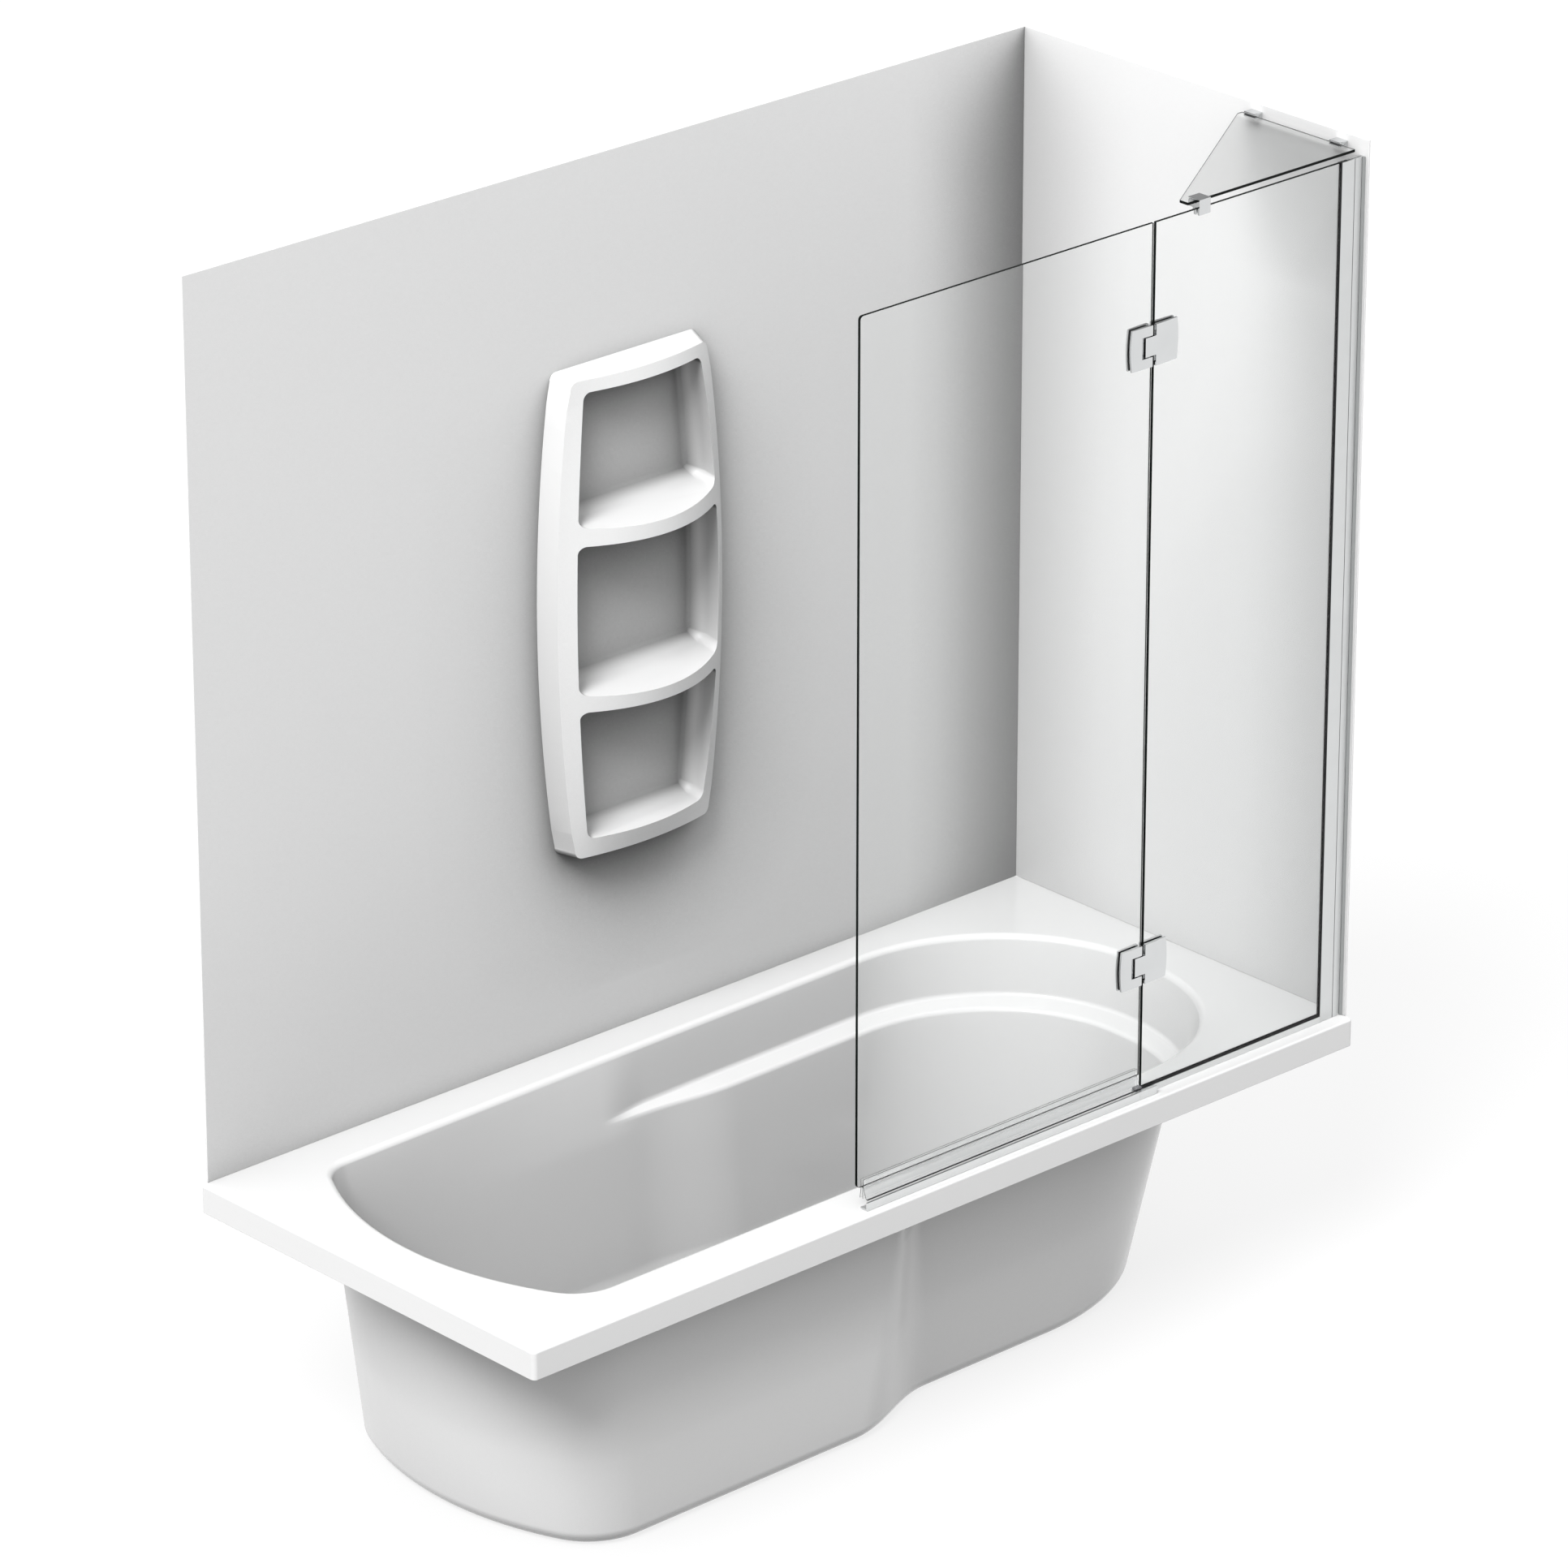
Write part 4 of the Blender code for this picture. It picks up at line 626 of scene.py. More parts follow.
def tub_ring(depth, reach, ledge_share):
    """Points round the tub at a depth below the rim, counterclockwise from the middle of the head."""
    under = max(depth - LEDGE_DEPTH, 0)
    above = depth - under
    side = reach + SIDE_DRAFT_SHARE * depth
    front = RIM_FRONT + FRONT_MARGIN + side
    back = RIM_BACK - BACK_MARGIN - side
    foot = RIM_FOOT + FOOT_MARGIN + reach + FOOT_DRAFT_SHARE * depth
    head = RIM_HEAD - HEAD_MARGIN - reach - HEAD_DRAFT_SHARE * above
    head -= ledge_share * HEAD_LEDGE + LOWER_HEAD_DRAFT_SHARE * under
    front_inset = ledge_share * FRONT_LEDGE + LOWER_FRONT_DRAFT_SHARE * under
    back_inset = ledge_share * BACK_LEDGE + LOWER_BACK_DRAFT_SHARE * under
    scoop_share = math.sin(math.pi / 2 * min(max((depth - OPENING_ROUND) / SCOOP_DEPTH, 0), 1))
    scoop_inset = scoop_share * BACK_LEDGE + LOWER_BACK_DRAFT_SHARE * under
    head_power = HEAD_FRONT_POWER + HEAD_LEDGE_POWER * ledge_share - HEAD_POWER_FALL * depth / BATH_HEIGHT
    head_start = RIM_HEAD - HEAD_START - HEAD_START_DRAFT_SHARE * depth
    step_from = RIM_HEAD - STEP_FROM - STEP_FROM_DRAFT_SHARE * under
    step_to = RIM_HEAD - STEP_TO - STEP_TO_DRAFT_SHARE * under

    radius = FOOT_RADIUS - reach
    centre = (foot + radius, (front + back) / 2 + FOOT_SHIFT_SHARE * depth)
    front_fillet = foot_fillet(centre, radius, front, FRONT_FILLET - reach + FILLET_GROWTH_SHARE * depth)
    back_fillet = foot_fillet(centre, radius, back, reach - BACK_FILLET)

    middle = (front + back + BACK_SLANT) / 2
    points = head_quarter(head, head_start, middle, back + BACK_SLANT - back_inset, HEAD_BACK_POWER)
    back_from = RIM_HEAD - SCOOP_FROM
    back_to = RIM_HEAD - BACK_STEP_TO
    stations = straight_stations(back_fillet[0], back_from, back_to, head_start)
    for x in reversed(stations[:-1]):
        from_head = RIM_HEAD - x
        along_share = (x - back_fillet[0]) / (head_start - back_fillet[0])
        fade = BACK_FADE_SHARE * eased((BACK_FADE_FROM - from_head) / (BACK_FADE_FROM - BACK_STEP_FROM))
        fade += (1 - BACK_FADE_SHARE) * eased((BACK_STEP_FROM - from_head) / (BACK_STEP_FROM - BACK_STEP_TO))
        sharp = eased((SCOOP_FROM - from_head) / (SCOOP_FROM - SCOOP_TO))
        points.append((x, back + BACK_SLANT * along_share - fade * blend(scoop_inset, back_inset, sharp)))
    points += arc(back_fillet[:2], back_fillet[2], 90, back_fillet[3], FILLET_STEPS)[1:]
    points += arc(centre, radius, back_fillet[3], front_fillet[3], FOOT_STEPS)[1:]
    points += arc(front_fillet[:2], front_fillet[2], front_fillet[3], 270, FILLET_STEPS)[1:]
    stations = straight_stations(front_fillet[0], step_from, step_to, head_start)
    for x in stations[1:]:
        points.append((x, front + front_inset * eased((x - step_from) / (step_to - step_from))))
    points += head_quarter(head, head_start, middle, front + front_inset, head_power)[-2:0:-1]
    height = RIM_TOP - depth
    return [(x, y, height) for x, y in points]


def foot_fillet(centre, radius, side, fillet):
    """Centre, radius and outer angle of the fillet between a side of the tub and the arc of its foot."""
    middle_y = side + fillet
    fillet = abs(fillet)
    rise = centre[1] - middle_y
    middle_x = centre[0] - math.sqrt((radius - fillet) ** 2 - rise**2)
    angle = math.degrees(math.atan2(middle_y - centre[1], middle_x - centre[0])) % 360
    return middle_x, middle_y, fillet, angle


def head_quarter(head, head_start, middle, side, power):
    """Points from the middle of the head to where a side begins, on a quarter of a superellipse."""
    points = []
    for step in range(HEAD_STEPS + 1):
        angle = math.pi / 2 * step / HEAD_STEPS
        across_share = max(math.cos(angle), 0) ** (2 / power) if step < HEAD_STEPS else 0
        up_share = math.sin(angle) ** (2 / power)
        points.append((blend(head_start, head, across_share), blend(middle, side, up_share)))
    return points


def straight_stations(start, step_from, step_to, head_start):
    """Where the rings' points lie along a side, closer together where the ledge fades in."""
    stations = [blend(start, step_from, step / LEAD_STEPS) for step in range(LEAD_STEPS)]
    stations += [blend(step_from, step_to, step / STEP_STEPS) for step in range(STEP_STEPS + 1)]
    stations += [blend(step_to, head_start, 1 / 2), head_start]
    return stations


SIDE_POINTS = STEP_STEPS + LEAD_STEPS + 2
BACK_FILLET_AT = HEAD_STEPS + SIDE_POINTS
FRONT_FILLET_AT = BACK_FILLET_AT + FILLET_STEPS + FOOT_STEPS
FRONT_END_AT = FRONT_FILLET_AT + FILLET_STEPS + SIDE_POINTS


def rim_ring(height, inset):
    """A rounded rectangle with one point for each point of the tub's opening."""
    ring = [[x, y] for x, y, _ in tub_ring(0, 0, 0)]
    radius = RIM_CORNER - inset
    head = RIM_HEAD - inset
    foot = RIM_FOOT + inset
    front = RIM_FRONT + inset
    back = RIM_BACK - inset
    lead = (HEAD_STEPS - CORNER_STEPS + 1) // 2
    pad = (FILLET_STEPS - CORNER_STEPS + 1) // 2
    head_front = FRONT_END_AT + HEAD_STEPS - lead - CORNER_STEPS
    corners = (
        (lead, 0, (head - radius, back - radius)),
        (BACK_FILLET_AT + pad, 90, (foot + radius, back - radius)),
        (FRONT_FILLET_AT + pad, 180, (foot + radius, front + radius)),
        (head_front, 270, (head - radius, front + radius)),
    )
    for index, point in enumerate(ring):
        if index <= lead or index >= head_front:
            point[0] = head
        elif index <= BACK_FILLET_AT + pad:
            point[1] = back
        elif index < FRONT_FILLET_AT + pad:
            point[0] = foot
        else:
            point[1] = front
    for start, angle, centre in corners:
        ring[start:start + CORNER_STEPS + 1] = arc(centre, radius, angle, angle + 90, CORNER_STEPS)
    return [(x, y, height) for x, y in ring]


LEDGE_STEPS = 8
LEDGE_GAPS_BELOW = (0.022, 0.010, 0.003)
LEDGE_GAPS_ABOVE = (0.003, 0.010, 0.025, 0.043, 0.061)
OPENING_ANGLES = (84, 72, 60, 48, 36, 24, 12, 0)
FLOOR_ANGLES = (90, 81, 72, 63, 54, 45, 36, 27, 18, 9, 0)
EDGE_ANGLES = (0, 18, 36, 54, 72, 90)
LIP_ANGLES = (90, 60, 30, 0)
DRAIN_STEPS = 64


def ledge_profile():
    """How deep below the ledge's own depth, and how much of its width, from its foot to the wall above."""
    hollow = []
    nose = []
    for step in range(LEDGE_STEPS + 1):
        down, sideways = turned_edge(1, (90 - LEDGE_SLOPE) * step / LEDGE_STEPS)
        hollow.append((LEDGE_HOLLOW * sideways, LEDGE_START + LEDGE_HOLLOW * down))
        nose.append((LEDGE_WIDTH - LEDGE_NOSE * sideways, -LEDGE_NOSE * down))
    fall = (nose[-1][0] - hollow[-1][0]) * math.tan(math.radians(LEDGE_SLOPE))
    foot = hollow[-1][1] + fall - nose[-1][1]
    lower = [(LEDGE_WIDTH, foot + gap) for gap in LEDGE_GAPS_BELOW]
    upper = [(0, LEDGE_START - gap) for gap in LEDGE_GAPS_ABOVE]
    points = lower + [(across, foot + down) for across, down in nose] + hollow[::-1] + upper
    return [(down, across / LEDGE_WIDTH) for across, down in points]


def wall_rings(outside):
    """The rings of one side of the shell from its ledge to its opening."""
    reach = OPENING_ROUND - outside
    rings = [tub_ring(LEDGE_DEPTH + below + outside, reach, share) for below, share in ledge_profile()]
    for angle in OPENING_ANGLES:
        inwards, down = turned_edge(OPENING_ROUND - outside, angle)
        rings.append(tub_ring(outside + down, inwards, 0))
    return rings


def edge_rings(height, radius, turns, way):
    """The rings of a rounded edge of the rim that ends at a height, with the rim below it or above."""
    turned = [turned_edge(radius, angle) for angle in turns]
    return [rim_ring(height + way * down, radius - inwards) for inwards, down in turned]


def bath_shell():
    """One skin from the tub's floor up to the rim, round its lip and down the outside to the foot."""
    rings = []
    for angle in FLOOR_ANGLES:
        inwards, up = turned_edge(FLOOR_FILLET, angle)
        rings.append(tub_ring(TUB_DEPTH - FLOOR_FILLET + inwards, OPENING_ROUND + up, 1))
    rings += wall_rings(0)
    rings += edge_rings(RIM_TOP, RIM_EDGE, EDGE_ANGLES, -1)
    lip_foot = RIM_TOP - LIP_HEIGHT
    rings += edge_rings(lip_foot, LIP_EDGE, LIP_ANGLES, 1)
    rings.append(rim_ring(lip_foot, LIP_WALL - LIP_EDGE))
    rings.append(rim_ring(lip_foot + LIP_EDGE / 3, LIP_WALL - LIP_EDGE / 3))
    rings.append(rim_ring(lip_foot + LIP_EDGE, LIP_WALL))
    rings.append(rim_ring(RIM_TOP - SHELL_WALL, LIP_WALL))
    rings += reversed(wall_rings(SHELL_WALL))
    for angle in reversed(FLOOR_ANGLES):
        inwards, up = turned_edge(BOTTOM_ROUND, angle)
        depth = BATH_HEIGHT - BOTTOM_ROUND + inwards
        rings.append(tub_ring(depth, OPENING_ROUND - SHELL_WALL + up, 1))
    pocket_reach = OPENING_ROUND - SHELL_WALL + BOTTOM_ROUND + FOOT_LAND
    rings.append(tub_ring(BATH_HEIGHT, pocket_reach, 1))
    rings.append([(x, y, FOOT_POCKET) for x, y, _ in rings[-1]])
    shell = lofted("bath_moulding", rings, ACRYLIC)
    drain = [(0, FLOOR_TOP + WASTE_HOLE), (WASTE_HOLE, FLOOR_TOP + WASTE_HOLE), (WASTE_HOLE, 0), (0, 0)]
    carve(shell, lathed("drain_cutter", drain, (WASTE_X, WASTE_Y, 0), DRAIN_STEPS, None))
    smooth(shell, SHELL_CREASE)
    weigh(shell)
    dress(shell, "bath_shell")


# Shelf unit


SHELF_SIDE_STEPS = 24
POCKET_SIDE_STEPS = 12
BOW_COLUMNS = 24
BOW_ROWS = 48
BOW_UP_SPAN = (-0.02, 1.02)
BOW_ACROSS_SPAN = (-1.1, 1.1)
SHELF_SEGMENTS = 5
SHELF_EDGE_FROM = 28
LIP_SEGMENTS = 4
LIP_EDGE_FROM = 32


def shelf_half(half, share):
    """Half the unit's width at a share of its height, less towards its ends."""
    return half - SHELF_TAPER * (2 * share - 1) ** 2


def shelf_front(across_share, share):
    """How far the bowed face stands off the wall."""
    middle = SHELF_MIDDLE_DEPTH - SHELF_BOW_LOSS * (2 * share - 1) ** 2
    return SHELF_SIDE_DEPTH + (middle - SHELF_SIDE_DEPTH) * (1 - across_share**2)


def shelf_outline(half, y, top):
    """The unit's outline as seen from the front, with rounded corners and bowed sides."""
    low, high = SHELF_CORNER, top - SHELF_CORNER
    upper = shelf_half(half, 1) - SHELF_CORNER
    lower = shelf_half(half, 0) - SHELF_CORNER
    rises = [step / SHELF_SIDE_STEPS for step in range(1, SHELF_SIDE_STEPS)]
    points = arc((upper, high), SHELF_CORNER, 0, 90, CORNER_STEPS)
    points += arc((-upper, high), SHELF_CORNER, 90, 180, CORNER_STEPS)
    points += [(-shelf_half(half, z / SHELF_HEIGHT), z) for z in (blend(high, low, rise) for rise in rises)]
    points += arc((-lower, low), SHELF_CORNER, 180, 270, CORNER_STEPS)
    points += arc((lower, low), SHELF_CORNER, 270, 360, CORNER_STEPS)
    points += [(shelf_half(half, z / SHELF_HEIGHT), z) for z in (blend(low, high, rise) for rise in rises)]
    return [(SHELF_X + x, y, RIM_TOP + SHELF_LOW + z) for x, z in points]


def bow_solid():
    """Everything behind the unit's bowed face."""
    shape = bmesh.new()
    front = []
    behind = []
    for row in range(BOW_ROWS + 1):
        share = blend(*BOW_UP_SPAN, row / BOW_ROWS)
        front_row = []
        behind_row = []
        for column in range(BOW_COLUMNS + 1):
            across_share = blend(*BOW_ACROSS_SPAN, column / BOW_COLUMNS)
            half = shelf_half(SHELF_FACE_HALF, min(max(share, 0), 1))
            x = SHELF_X + half * across_share
            z = RIM_TOP + SHELF_LOW + SHELF_HEIGHT * share
            depth = shelf_front(across_share, share)
            front_row.append(shape.verts.new((x, BACK_FACE - depth, z)))
            behind_row.append(shape.verts.new((x, BACK_FACE + SHELF_SIDE_DEPTH, z)))
        front.append(front_row)
        behind.append(behind_row)
    for grid in (front, behind):
        for lower, upper in zip(grid, grid[1:]):
            for k in range(BOW_COLUMNS):
                shape.faces.new((lower[k], lower[k + 1], upper[k + 1], upper[k]))
    for k in range(BOW_COLUMNS):
        for row in (0, BOW_ROWS):
            shape.faces.new((front[row][k], front[row][k + 1], behind[row][k + 1], behind[row][k]))
    for k in range(BOW_ROWS):
        for column in (0, BOW_COLUMNS):
            side = (front[k][column], front[k + 1][column], behind[k + 1][column], behind[k][column])
            shape.faces.new(side)
    bmesh.ops.recalc_face_normals(shape, faces=shape.faces)
    return new_piece("bow", shape, None)


def pocket_outline(low, high, y, rise_share, inset):
    """A pocket's outline at a depth, with its sill raised by a share and its walls drawn in."""
    low += rise_share * POCKET_SILL + inset
    high -= inset
    middle = shelf_half(SHELF_FACE_HALF, (low + high) / 2 / SHELF_HEIGHT) - POCKET_EDGE
    radius = POCKET_RADIUS - inset / 2
    points = []
    corners = ((1, high, 0), (-1, high, 90), (-1, low, 180), (1, low, 270))
    for index, (x, z, angle) in enumerate(corners):
        inner = (x * (middle - inset - radius), z - math.copysign(radius, z - (low + high) / 2))
        points += arc(inner, radius, angle, angle + 90, CORNER_STEPS)
        if index in (1, 3):
            start = points[-1]
            end_z = low + radius if index == 1 else high - radius
            for step in range(1, POCKET_SIDE_STEPS):
                points.append((start[0], blend(start[1], end_z, step / POCKET_SIDE_STEPS)))
    ring = []
    for x, z in points:
        half = shelf_half(SHELF_FACE_HALF, z / SHELF_HEIGHT) - POCKET_EDGE
        ring.append((SHELF_X + x * half / middle, BACK_FACE + y, RIM_TOP + SHELF_LOW + z))
    return ring


def pocket_cutter(low, high):
    far = -SHELF_MIDDLE_DEPTH
    rings = [pocket_outline(low, high, far - SHELF_SIDE_DEPTH, 0, 0), pocket_outline(low, high, far, 0, 0)]
    for angle in EDGE_ANGLES:
        up, inwards = turned_edge(POCKET_FILLET, angle)
        rings.append(pocket_outline(low, high, up - POCKET_BACK - POCKET_FILLET, 1, inwards))
    return lofted("pocket", rings, None)


def shelf_unit():
    """The unit's outline, cut by the bow of its face and by its three pockets."""
    face_top = SHELF_HEIGHT - SHELF_TOP_LEAN
    outlines = (
        (SHELF_WALL_HALF, WALL_GAP, SHELF_HEIGHT),
        (SHELF_FACE_HALF, SHELF_SIDE_DEPTH, face_top),
        (SHELF_FACE_HALF, SHELF_SIDE_DEPTH + SHELF_MIDDLE_DEPTH, face_top),
    )
    rings = [shelf_outline(half, BACK_FACE - depth, top) for half, depth, top in outlines]
    unit = lofted("shelf_moulding", rings, MOULDING)
    carve(unit, bow_solid(), "INTERSECT")
    round_edges(unit, SHELF_EDGE, SHELF_SEGMENTS, SHELF_EDGE_FROM)
    for low, high in POCKET_SPANS:
        carve(unit, pocket_cutter(low, high))
    shape = bmesh.new()
    shape.from_mesh(unit.data)
    split_faces(shape)
    shape.to_mesh(unit.data)
    shape.free()
    round_edges(unit, POCKET_LIP, LIP_SEGMENTS, LIP_EDGE_FROM)
    smooth(unit, SHELF_CREASE)
    weigh(unit)
    dress(unit, "shelf_unit")


# Pieces that keep the frame's shape, with their edges rounded


FLAT_ANGLE = math.radians(0.05)
CLEAR_FACING = 0.99
PANE_EDGE = 0.0004
POST_EDGE = 0.0004
RAIL_EDGE = 0.0006
STRIP_EDGE = 0.0002
LIP_STRIP_EDGE = 0.0004
CLAMP_EDGE = 0.0008
SHEET_EDGE = 0.0001
PLATE_EDGE = 0.0006
PIN_EDGE = 0.0003
BOARD_EDGE = 0.0008
NUT_EDGE = 0.0010


def copied(name, node, finish):
    """A copy of a CAD node, with loose triangles joined and flat faces made whole."""
    shape = bmesh.new()
    shape.from_mesh(frame["nodes"][node].data)
    bmesh.ops.remove_doubles(shape, verts=shape.verts, dist=WELD)
    bmesh.ops.dissolve_limit(shape, angle_limit=FLAT_ANGLE, verts=shape.verts, edges=shape.edges)
    split_faces(shape)
    for face in shape.faces:
        face.material_index = 0
    return new_piece(name, shape, finish)


def soften(name, node, finish, width, segments=3):
    """A CAD node with worn or pressed edges."""
    piece = copied(name, node, finish)
    round_edges(piece, width, segments)
    smooth(piece)
    weigh(piece)
    dress(piece, node)


def pane(name, node, side):
    """A pane whose edge faces are painted near black, a painted stand-in for the darkness that refraction
    gives a glass edge. Its clear faces are those that face along an axis.
    """
    piece = copied(name, node, GLASS)
    piece.data.materials.append(PAINTED_DARK_GLASS_EDGE)
    axis = "xyz".index(side)
    round_edges(piece, PANE_EDGE, segments=1)
    for face in piece.data.polygons:
        face.material_index = 0 if abs(face.normal[axis]) > CLEAR_FACING else 1
    dress(piece, node)


def recolour(node, finish):
    """Gives a CAD node a finish and leaves its shape alone."""
    data = frame["nodes"][node].data
    data.materials.clear()
    data.materials.append(finish)


HINGES = ("lower", "upper")
JAMB_SEAL_WIDTH = 0.0026
JAMB_SEAL_EDGE = 0.0003


def jamb_seals():
    """The black seals that close the jamb's mouth against both faces of the fixed glass."""
    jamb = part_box("jamb_profile")
    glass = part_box("fixed_glass")
    mouth = jamb[0][0]
    start = mouth - JAMB_SEAL_WIDTH
    levels = (glass[0][2], min(glass[1][2], jamb[1][2]))
    for side, face in (("front", 0), ("rear", 1)):
        inner = glass[face][1]
        outer = jamb[face][1] + math.copysign(JAMB_SEAL_EDGE, inner - jamb[face][1])
        corners = ((start, outer), (mouth, outer), (mouth, inner), (start, inner))
        strip = lofted(f"jamb_seal_{side}", [[(x, y, z) for x, y in corners] for z in levels], BLACK)
        round_edges(strip, JAMB_SEAL_EDGE, segments=2, angle=SHARP_EDGE_FROM)
        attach(strip, "bath")


def screen():
    """The panes, posts, rails and seals of the screen, its brace and its two hinges."""
    pane("fixed_pane", "fixed_glass", "y")
    pane("swing_pane", "swing_glass", "y")
    pane("brace_pane", "brace_glass", "z")
    soften("jamb_post", "jamb_profile", POST_METAL, POST_EDGE)
    jamb_seals()
    soften("wall_post", "wall_profile", POST_METAL, POST_EDGE)
    soften("threshold", "threshold_rail", RAIL_METAL, RAIL_EDGE)
    soften("threshold_joiner", "rail_joiner", RAIL_METAL, RAIL_EDGE)
    soften("glass_rail", "glazing_rail", RAIL_METAL, RAIL_EDGE)
    soften("glass_rail_strip", "glazing_strip", BLACK, STRIP_EDGE, segments=2)
    soften("end_block", "rail_end_block", GREY, RAIL_EDGE)
    soften("screen_sealant", "sealant_strip", SEALANT, RAIL_EDGE)
    soften("clamp_on_glass", "panel_clamp", CHROME, CLAMP_EDGE)
    for number in (1, 2):
        soften(f"clamp_on_wall_{number}", f"wall_clamp_{number}", CHROME, CLAMP_EDGE)
        soften(f"clamp_pad_{number}", f"wall_clamp_pad_{number}", BLACK, SHEET_EDGE, segments=1)
    soften("seal_profile", "drip_seal", VINYL, STRIP_EDGE, segments=2)
    soften("seal_lip", "drip_seal_lip", BLACK, LIP_STRIP_EDGE)
    for hinge in HINGES:
        for leaf in ("swing_leaf_front", "swing_leaf_back", "fixed_leaf_front", "fixed_leaf_back"):
            node = f"{hinge}_{leaf}"
            soften(node.replace("leaf", "plate"), node, CHROME, PLATE_EDGE)
        for sheet in ("swing_gasket", "fixed_gasket"):
            soften(f"{hinge}_{sheet}_sheet", f"{hinge}_{sheet}", BLACK, SHEET_EDGE, segments=1)
        soften(f"{hinge}_hinge_pin", f"{hinge}_pivot_pin", CHROME, PIN_EDGE)


# Screws, by one Geometry Nodes tree that repeats them


HEAD_SIDES = 28
SHANK_SIDES = 16
SOCKET_SIDES = 6
SOCKET_SHARE = 0.6
SCREW_SIZES = ("Head Radius", "Head Depth", "Shank Radius", "Shank Length", "Socket Radius")
HINGE_SCREW = (0.0031, 0.0020, 0.0017, 0.0102, 0.0017)
PROFILE_SCREW = (0.0027, 0.0010, 0.0014, 0.0030, 0.0013)


def screw_tree():
    """A socket head screw on each point, its axis along +Y and the top of its head on the point."""
    tree = bpy.data.node_groups.new("screw_row", "GeometryNodeTree")
    tree.interface.new_socket("Geometry", in_out="INPUT", socket_type="NodeSocketGeometry")
    for label in SCREW_SIZES:
        tree.interface.new_socket(label, in_out="INPUT", socket_type="NodeSocketFloat")
    tree.interface.new_socket("Finish", in_out="INPUT", socket_type="NodeSocketMaterial")
    tree.interface.new_socket("Geometry", in_out="OUTPUT", socket_type="NodeSocketGeometry")
    entry = tree.nodes.new("NodeGroupInput").outputs

    def rod(steps, radius, length, level):
        """A rod along Z with its middle at a level."""
        mesh = add(tree, "GeometryNodeMeshCylinder", Vertices=steps, Radius=radius, Depth=length)["Mesh"]
        place = add(tree, "ShaderNodeCombineXYZ", Z=level)["Vector"]
        return add(tree, "GeometryNodeTransform", Geometry=mesh, Translation=place)["Geometry"]

    def times(source, factor):
        return joined(tree, "MULTIPLY", source, factor)

    depth = entry["Head Depth"]
    head = rod(HEAD_SIDES, entry["Head Radius"], depth, times(depth, -0.5))
    socket = rod(SOCKET_SIDES, entry["Socket Radius"], times(depth, SOCKET_SHARE * 2), 0)
    bored = add(tree, "GeometryNodeMeshBoolean", Mesh_1=head, Mesh_2=socket,
                settings={"operation": "DIFFERENCE", "solver": "EXACT"})["Mesh"]
    middle = joined(tree, "SUBTRACT", times(entry["Shank Length"], -0.5), depth)
    shank = rod(SHANK_SIDES, entry["Shank Radius"], entry["Shank Length"], middle)
    both = tree.nodes.new("GeometryNodeJoinGeometry")
    for part in (bored, shank):
        tree.links.new(part, both.inputs["Geometry"])
    whole = both.outputs["Geometry"]
    screw = add(tree, "GeometryNodeTransform", Geometry=whole, Rotation=(-math.pi / 2, 0, 0))
    row = add(tree, "GeometryNodeInstanceOnPoints", Points=entry["Geometry"], Instance=screw["Geometry"])
    real = add(tree, "GeometryNodeRealizeInstances", row["Instances"])
    done = add(tree, "GeometryNodeSetMaterial", Geometry=real["Geometry"], Material=entry["Finish"])
    tree.links.new(done["Geometry"], tree.nodes.new("NodeGroupOutput").inputs["Geometry"])
    return tree


def screws(name, tree, nodes, sizes):
    """One piece with a screw where each of the CAD's screws is."""
    shape = bmesh.new()
    for node in nodes:
        low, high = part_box(node)
        shape.verts.new(((low[0] + high[0]) / 2, high[1], (low[2] + high[2]) / 2))
    piece = new_piece(name, shape, None)
    repeat = piece.modifiers.new("screw row", "NODES")
    repeat.node_group = tree
    labels = {item.name: item.identifier for item in tree.interface.items_tree if item.in_out == "INPUT"}
    for label, size in zip(SCREW_SIZES, sizes):
        repeat[labels[label]] = size
    repeat[labels["Finish"]] = CHROME
    settle(piece)
    smooth(piece, WIDE_CREASE)
    dress(piece, *nodes)


def all_screws():
    tree = screw_tree()
    for leaf in ("fixed", "swing"):
        nodes = [f"{hinge}_{leaf}_screw_{level}" for hinge in HINGES for level in ("low", "high")]
        screws(f"{leaf}_plate_screws", tree, nodes, HINGE_SCREW)
    screws("post_screws", tree, [f"wall_profile_screw_{number}" for number in (1, 2, 3)], PROFILE_SCREW)


# Waste and plug


FLANGE_RADIUS = 0.035
FLANGE_LOW = 0.0418
FLANGE_HIGH = 0.0440
TUBE_RADIUS = 0.0225
TUBE_BORE = 0.0200
WASTE_FOOT = 0.005
HUB_RADIUS = 0.008
HUB_BORE = 0.0038
HUB_HIGH = 0.015
ARM_HALF = 0.002
PLUG_RADIUS = 0.0315
PLUG_STEM = 0.0035
TURNED_STEPS = 72
ARM_EDGE = ARM_HALF / 5
FLANGE_NOSE = ((1, 1), (0.5, 0.95), (0.2, 0.8), (0.03, 0.6), (0, 0.33), (0, 0))
PLUG_CROWN = 0.0020
PLUG_CROWN_SHARE = 5 / 6
PLUG_CROWN_SHARES = (0, 0.15, 0.3, 0.45, 0.6, 0.75, 0.9, 1)
PLUG_NOSE = ((0.9, 0.0022), (0.95, 0.0026), (0.985, 0.0032), (1, 0.0040), (1, 0.0066), (0.99, 0.0070))
PLUG_STEM_EDGE = 0.0010


